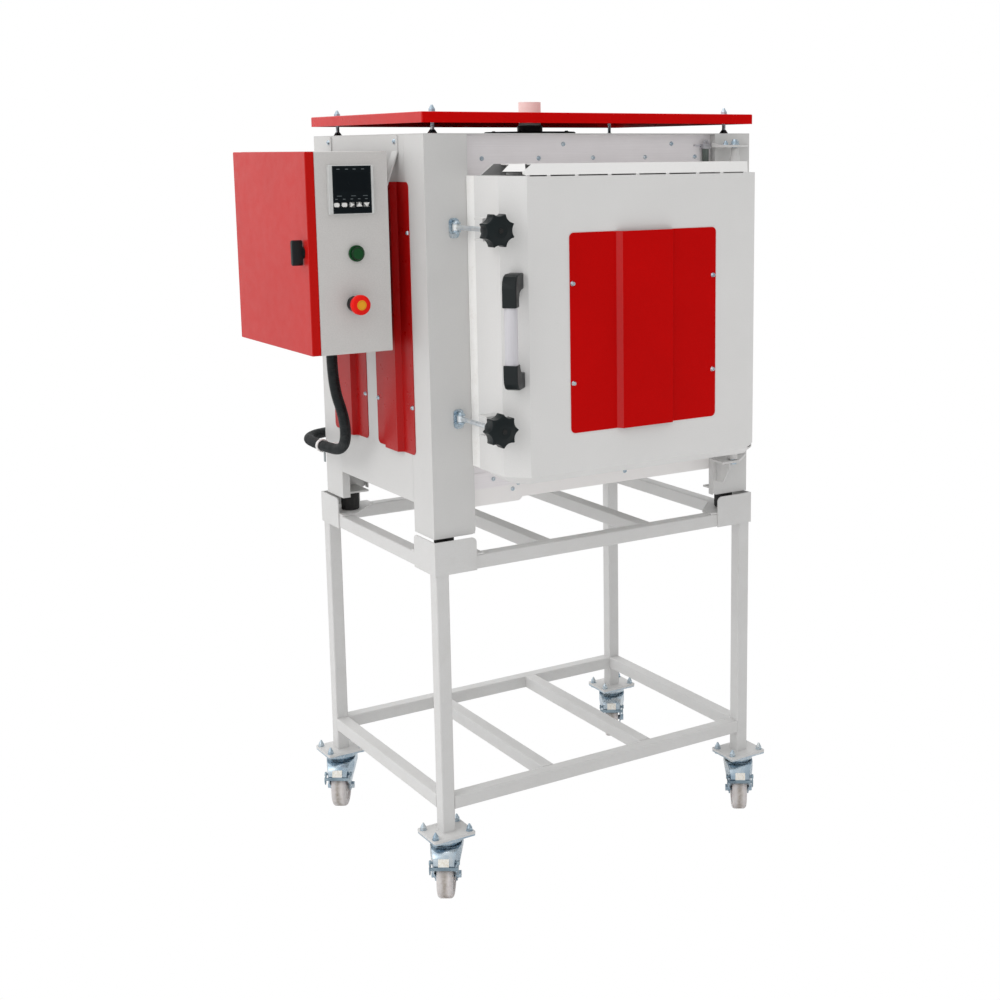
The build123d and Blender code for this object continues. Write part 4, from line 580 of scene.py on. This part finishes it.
ASSIGN = {
    "stand_legs": M_STAND, "stand_rails": M_STAND, "stand_plates": M_STAND, "kiln_feet": M_RUBBER, "castor_mounts": M_ZINC,
    "corner_posts": M_BODY, "casing_panels": M_BODY, "casing_ends": M_BODY, "front_plate": M_STEEL, "lining_blocks": M_BRICK,
    "hearth_plate": M_SHELF, "heating_elements": M_ELEM, "thermocouple": M_ZINC, "vent_tube": M_TUBE, "vent_collar": M_BLKPAINT,
    "top_cover": M_TOP, "case_fasteners": M_ZINC, "side_vent_covers": M_RED_SHADED, "conduit": M_BLACK, "conduit_fittings": M_CLIP,
    "casing_brackets": M_BODY, "clamp_brackets": M_ZINC, "door_switch": switch_mat(), "cabinet_box": M_CAB, "cabinet_internals": M_LIGHT,
    "controller_bezel": M_LIGHT, "controller_face": M_FACE, "signal_lamp": M_GREEN, "stop_button_base": M_BLACK, "stop_button_head": M_STOP,
    "door_shell": M_DOOR, "door_insulation": M_FIBRE, "door_gasket": M_FIBRE, "door_vent_cover": M_RED, "door_screws": M_ZINC,
    "door_fittings": M_BODY, "door_handle": M_HANDLE, "cabinet_door": M_REDCAB, "cabinet_latch": M_BLACK,
}
for u in ("upper", "lower"):
    ASSIGN["swing_bolt_" + u] = M_BOLT
    ASSIGN["clamp_knob_" + u] = M_KNOB
for k in range(1, 6):
    ASSIGN["controller_key_%d" % k] = M_KEY
CY = radians(-33.4)
for sx, sy, c in ((-1, -1, "fl"), (1, -1, "fr"), (-1, 1, "rl"), (1, 1, "rr")):
    cx, cy = sx * 394.6, sy * 278.1 + 7.8
    wc = P(cx + 18 * sin(CY), cy - 18 * cos(CY), 50)
    ASSIGN["castor_fork_" + c] = M_ZINC
    ASSIGN["castor_brake_" + c] = pedal_mat("pedal_" + c, P(cx, cy, 0), CY)
    ASSIGN["castor_wheel_" + c] = wheel_mat("wheel_" + c, wc, CY)

for name, mat in ASSIGN.items():
    o = NODES[name]
    o.data.materials.clear()
    o.data.materials.append(mat)

# ------------------------------------------------------------------ soft edges on the CAD pieces
BEVEL = {
    "stand_legs": 0.0, "stand_rails": 0.0, "stand_plates": 0.0005, "corner_posts": 0.0009, "casing_panels": 0.0004, "casing_ends": 0.0004,
    "front_plate": 0.0004, "top_cover": 0.0, "side_vent_covers": 0.0005, "door_vent_cover": 0.0005, "door_shell": 0.0008, "casing_brackets": 0.0005,
    "clamp_brackets": 0.0005, "cabinet_box": 0.0004, "cabinet_door": 0.0004, "controller_bezel": 0.0004, "door_fittings": 0.0008,
    "door_switch": 0.0008, "lining_blocks": 0.0015, "hearth_plate": 0.001, "door_gasket": 0.0015, "door_insulation": 0.002,
    "cabinet_latch": 0.0005, "castor_mounts": 0.0004, "castor_fork_fl": 0.0010, "castor_fork_fr": 0.0010, "castor_fork_rl": 0.0010, "castor_fork_rr": 0.0010, "castor_brake_fl": 0.0006, "castor_brake_fr": 0.0006, "castor_brake_rl": 0.0006, "castor_brake_rr": 0.0006, "clamp_knob_upper": 0.0008, "clamp_knob_lower": 0.0008, "stop_button_base": 0.0006, "signal_lamp": 0.0004, "conduit_fittings": 0.0006, "door_handle": 0.0006, "case_fasteners": 0.0003, "cabinet_internals": 0.0005,
}
def soften(name, width):
    o = NODES[name]
    w = o.modifiers.new("weld", "WELD")
    w.merge_threshold = 0.00002
    if width > 0:
        b = o.modifiers.new("edges", "BEVEL")
        b.width = width
        b.segments = 2
        b.limit_method = "ANGLE"
        b.angle_limit = radians(40)
        b.use_clamp_overlap = True
        b.harden_normals = True
for name, width in BEVEL.items():
    soften(name, width)

# ------------------------------------------------------------------ ribbed conduit on the same route as the model's plain tube
ROUTE = [(-503, -7, 1147.5), (-503, -7, 1080), (-480, -9, 1004), (-466, 20, 949), (-458, 74, 919), (-457, 148, 914), (-458, 222, 913), (-447, 294, 911), (-388, 352, 910), (-308, 352, 910)]


def conduit():
    cu = bpy.data.curves.new("conduit_line", "CURVE")
    cu.dimensions = "3D"
    cu.resolution_u = 48
    sp = cu.splines.new("NURBS")
    sp.points.add(len(ROUTE) - 1)
    for pt, q in zip(sp.points, ROUTE):
        pt.co = (*P(*q), 1.0)
    sp.order_u = 3
    sp.use_endpoint_u = True
    line = bpy.data.objects.new("conduit_line", cu)
    bpy.context.scene.collection.objects.link(line)
    bpy.context.view_layer.update()
    dg = bpy.context.evaluated_depsgraph_get()
    me = bpy.data.meshes.new_from_object(line.evaluated_get(dg))
    pts = [v.co.copy() for v in me.vertices]
    bpy.data.objects.remove(line)
    seg = [0.0]
    for p_, q_ in zip(pts, pts[1:]):
        seg.append(seg[-1] + (q_ - p_).length)
    total = seg[-1]
    step, pitch = 0.0008, 0.0040
    n = int(total / step)
    centres, k = [], 0
    for i in range(n + 1):
        d = total * i / n
        while k < len(seg) - 2 and seg[k + 1] < d:
            k += 1
        f = (d - seg[k]) / max(1e-9, seg[k + 1] - seg[k])
        centres.append((d, pts[k].lerp(pts[k + 1], f)))
    t0 = (centres[1][1] - centres[0][1]).normalized()
    up = t0.orthogonal().normalized()
    verts, faces, sides = [], [], 28
    for i, (d, c) in enumerate(centres):
        t = (centres[min(n, i + 1)][1] - centres[max(0, i - 1)][1]).normalized()
        up = (up - t * up.dot(t)).normalized()
        side = t.cross(up)
        r = 0.0116 + 0.00038 * cos(2 * pi * d / pitch)
        for j in range(sides):
            a_ = 2 * pi * j / sides
            verts.append(c + (up * cos(a_) + side * sin(a_)) * r)
    for i in range(n):
        for j in range(sides):
            j2 = (j + 1) % sides
            faces.append((i * sides + j, i * sides + j2, (i + 1) * sides + j2, (i + 1) * sides + j))
    faces.append(tuple(reversed(range(sides))))
    faces.append(tuple(n * sides + j for j in range(sides)))
    mesh = bpy.data.meshes.new("conduit_ribbed")
    mesh.from_pydata([tuple(v) for v in verts], [], faces)
    mesh.shade_smooth()
    mesh.materials.append(M_CONDUIT)
    ob = bpy.data.objects.new("conduit_ribbed", mesh)
    bpy.context.scene.collection.objects.link(ob)
    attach(ob, "root")
    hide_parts("conduit")
    return ob


conduit()

# ------------------------------------------------------------------ floor and light
def stage():
    me = bpy.data.meshes.new("floor")
    s = 30.0
    me.from_pydata([(-s, -s, -0.0005), (s, -s, -0.0005), (s, s, -0.0005), (-s, s, -0.0005)], [], [(0, 1, 2, 3)])
    fl = bpy.data.objects.new("floor", me)
    bpy.context.scene.collection.objects.link(fl)
    m = Mat("floor_paint")
    m.set(color=m.mix(m.noise(0.7, 3.0, 0.5), (0.86, 0.86, 0.86), (0.89, 0.89, 0.89)), rough=0.8, spec=0.1)
    # seen by the camera the floor is plain white, while it still throws light up at the object
    ft = m.m.node_tree
    fo = next(n for n in ft.nodes if n.type == "OUTPUT_MATERIAL")
    paint = fo.inputs["Surface"].links[0].from_socket
    white = ft.nodes.new("ShaderNodeEmission")
    white.inputs["Color"].default_value = (1.0, 1.0, 1.0, 1.0)
    white.inputs["Strength"].default_value = 1.0
    seen = ft.nodes.new("ShaderNodeLightPath")
    mix = ft.nodes.new("ShaderNodeMixShader")
    ft.links.new(seen.outputs["Is Camera Ray"], mix.inputs[0])
    ft.links.new(paint, mix.inputs[1])
    ft.links.new(white.outputs[0], mix.inputs[2])
    ft.links.new(mix.outputs[0], fo.inputs["Surface"])
    m.m.cycles.emission_sampling = "NONE"
    me.materials.append(m.m)

    w = bpy.data.worlds.new("studio")
    bpy.context.scene.world = w
    w.use_nodes = True
    t = w.node_tree
    t.nodes.clear()
    out = t.nodes.new("ShaderNodeOutputWorld")
    bg = t.nodes.new("ShaderNodeBackground")
    t.links.new(bg.outputs[0], out.inputs[0])
    bg.inputs["Color"].default_value = (1.0, 1.0, 1.0, 1.0)
    # soft sky: brightest behind and to the left, dimmer in front and on the right
    tc = t.nodes.new("ShaderNodeTexCoord")
    dot = t.nodes.new("ShaderNodeVectorMath")
    dot.operation = "DOT_PRODUCT"
    t.links.new(tc.outputs["Generated"], dot.inputs[0])
    dot.inputs[1].default_value = Vector((-0.66, 0.60, 0.45)).normalized()
    mad = t.nodes.new("ShaderNodeMath")
    mad.operation = "MULTIPLY_ADD"
    t.links.new(dot.outputs["Value"], mad.inputs[0])
    mad.inputs[1].default_value = 0.34
    mad.inputs[2].default_value = 0.82
    lp = t.nodes.new("ShaderNodeLightPath")
    top = t.nodes.new("ShaderNodeMath")
    top.operation = "MAXIMUM"
    t.links.new(mad.outputs[0], top.inputs[0])
    t.links.new(lp.outputs["Is Camera Ray"], top.inputs[1])
    t.links.new(top.outputs[0], bg.inputs["Strength"])

    def area(name, at, to, size, power, color=(1, 1, 1)):
        d = bpy.data.lights.new(name, "AREA")
        d.shape = "RECTANGLE"
        d.size, d.size_y = size
        d.energy = power
        d.color = color
        o = bpy.data.objects.new(name, d)
        o.location = at
        o.rotation_euler = (Vector(to) - Vector(at)).to_track_quat("-Z", "Y").to_euler()
        bpy.context.scene.collection.objects.link(o)
    area("key", (-3.8, -0.6, 3.4), (0, 0, 1.0), (2.2, 2.2), 22)
    area("top", (-0.4, 0.8, 4.6), (0, 0, 1.0), (3.0, 3.0), 30)


stage()
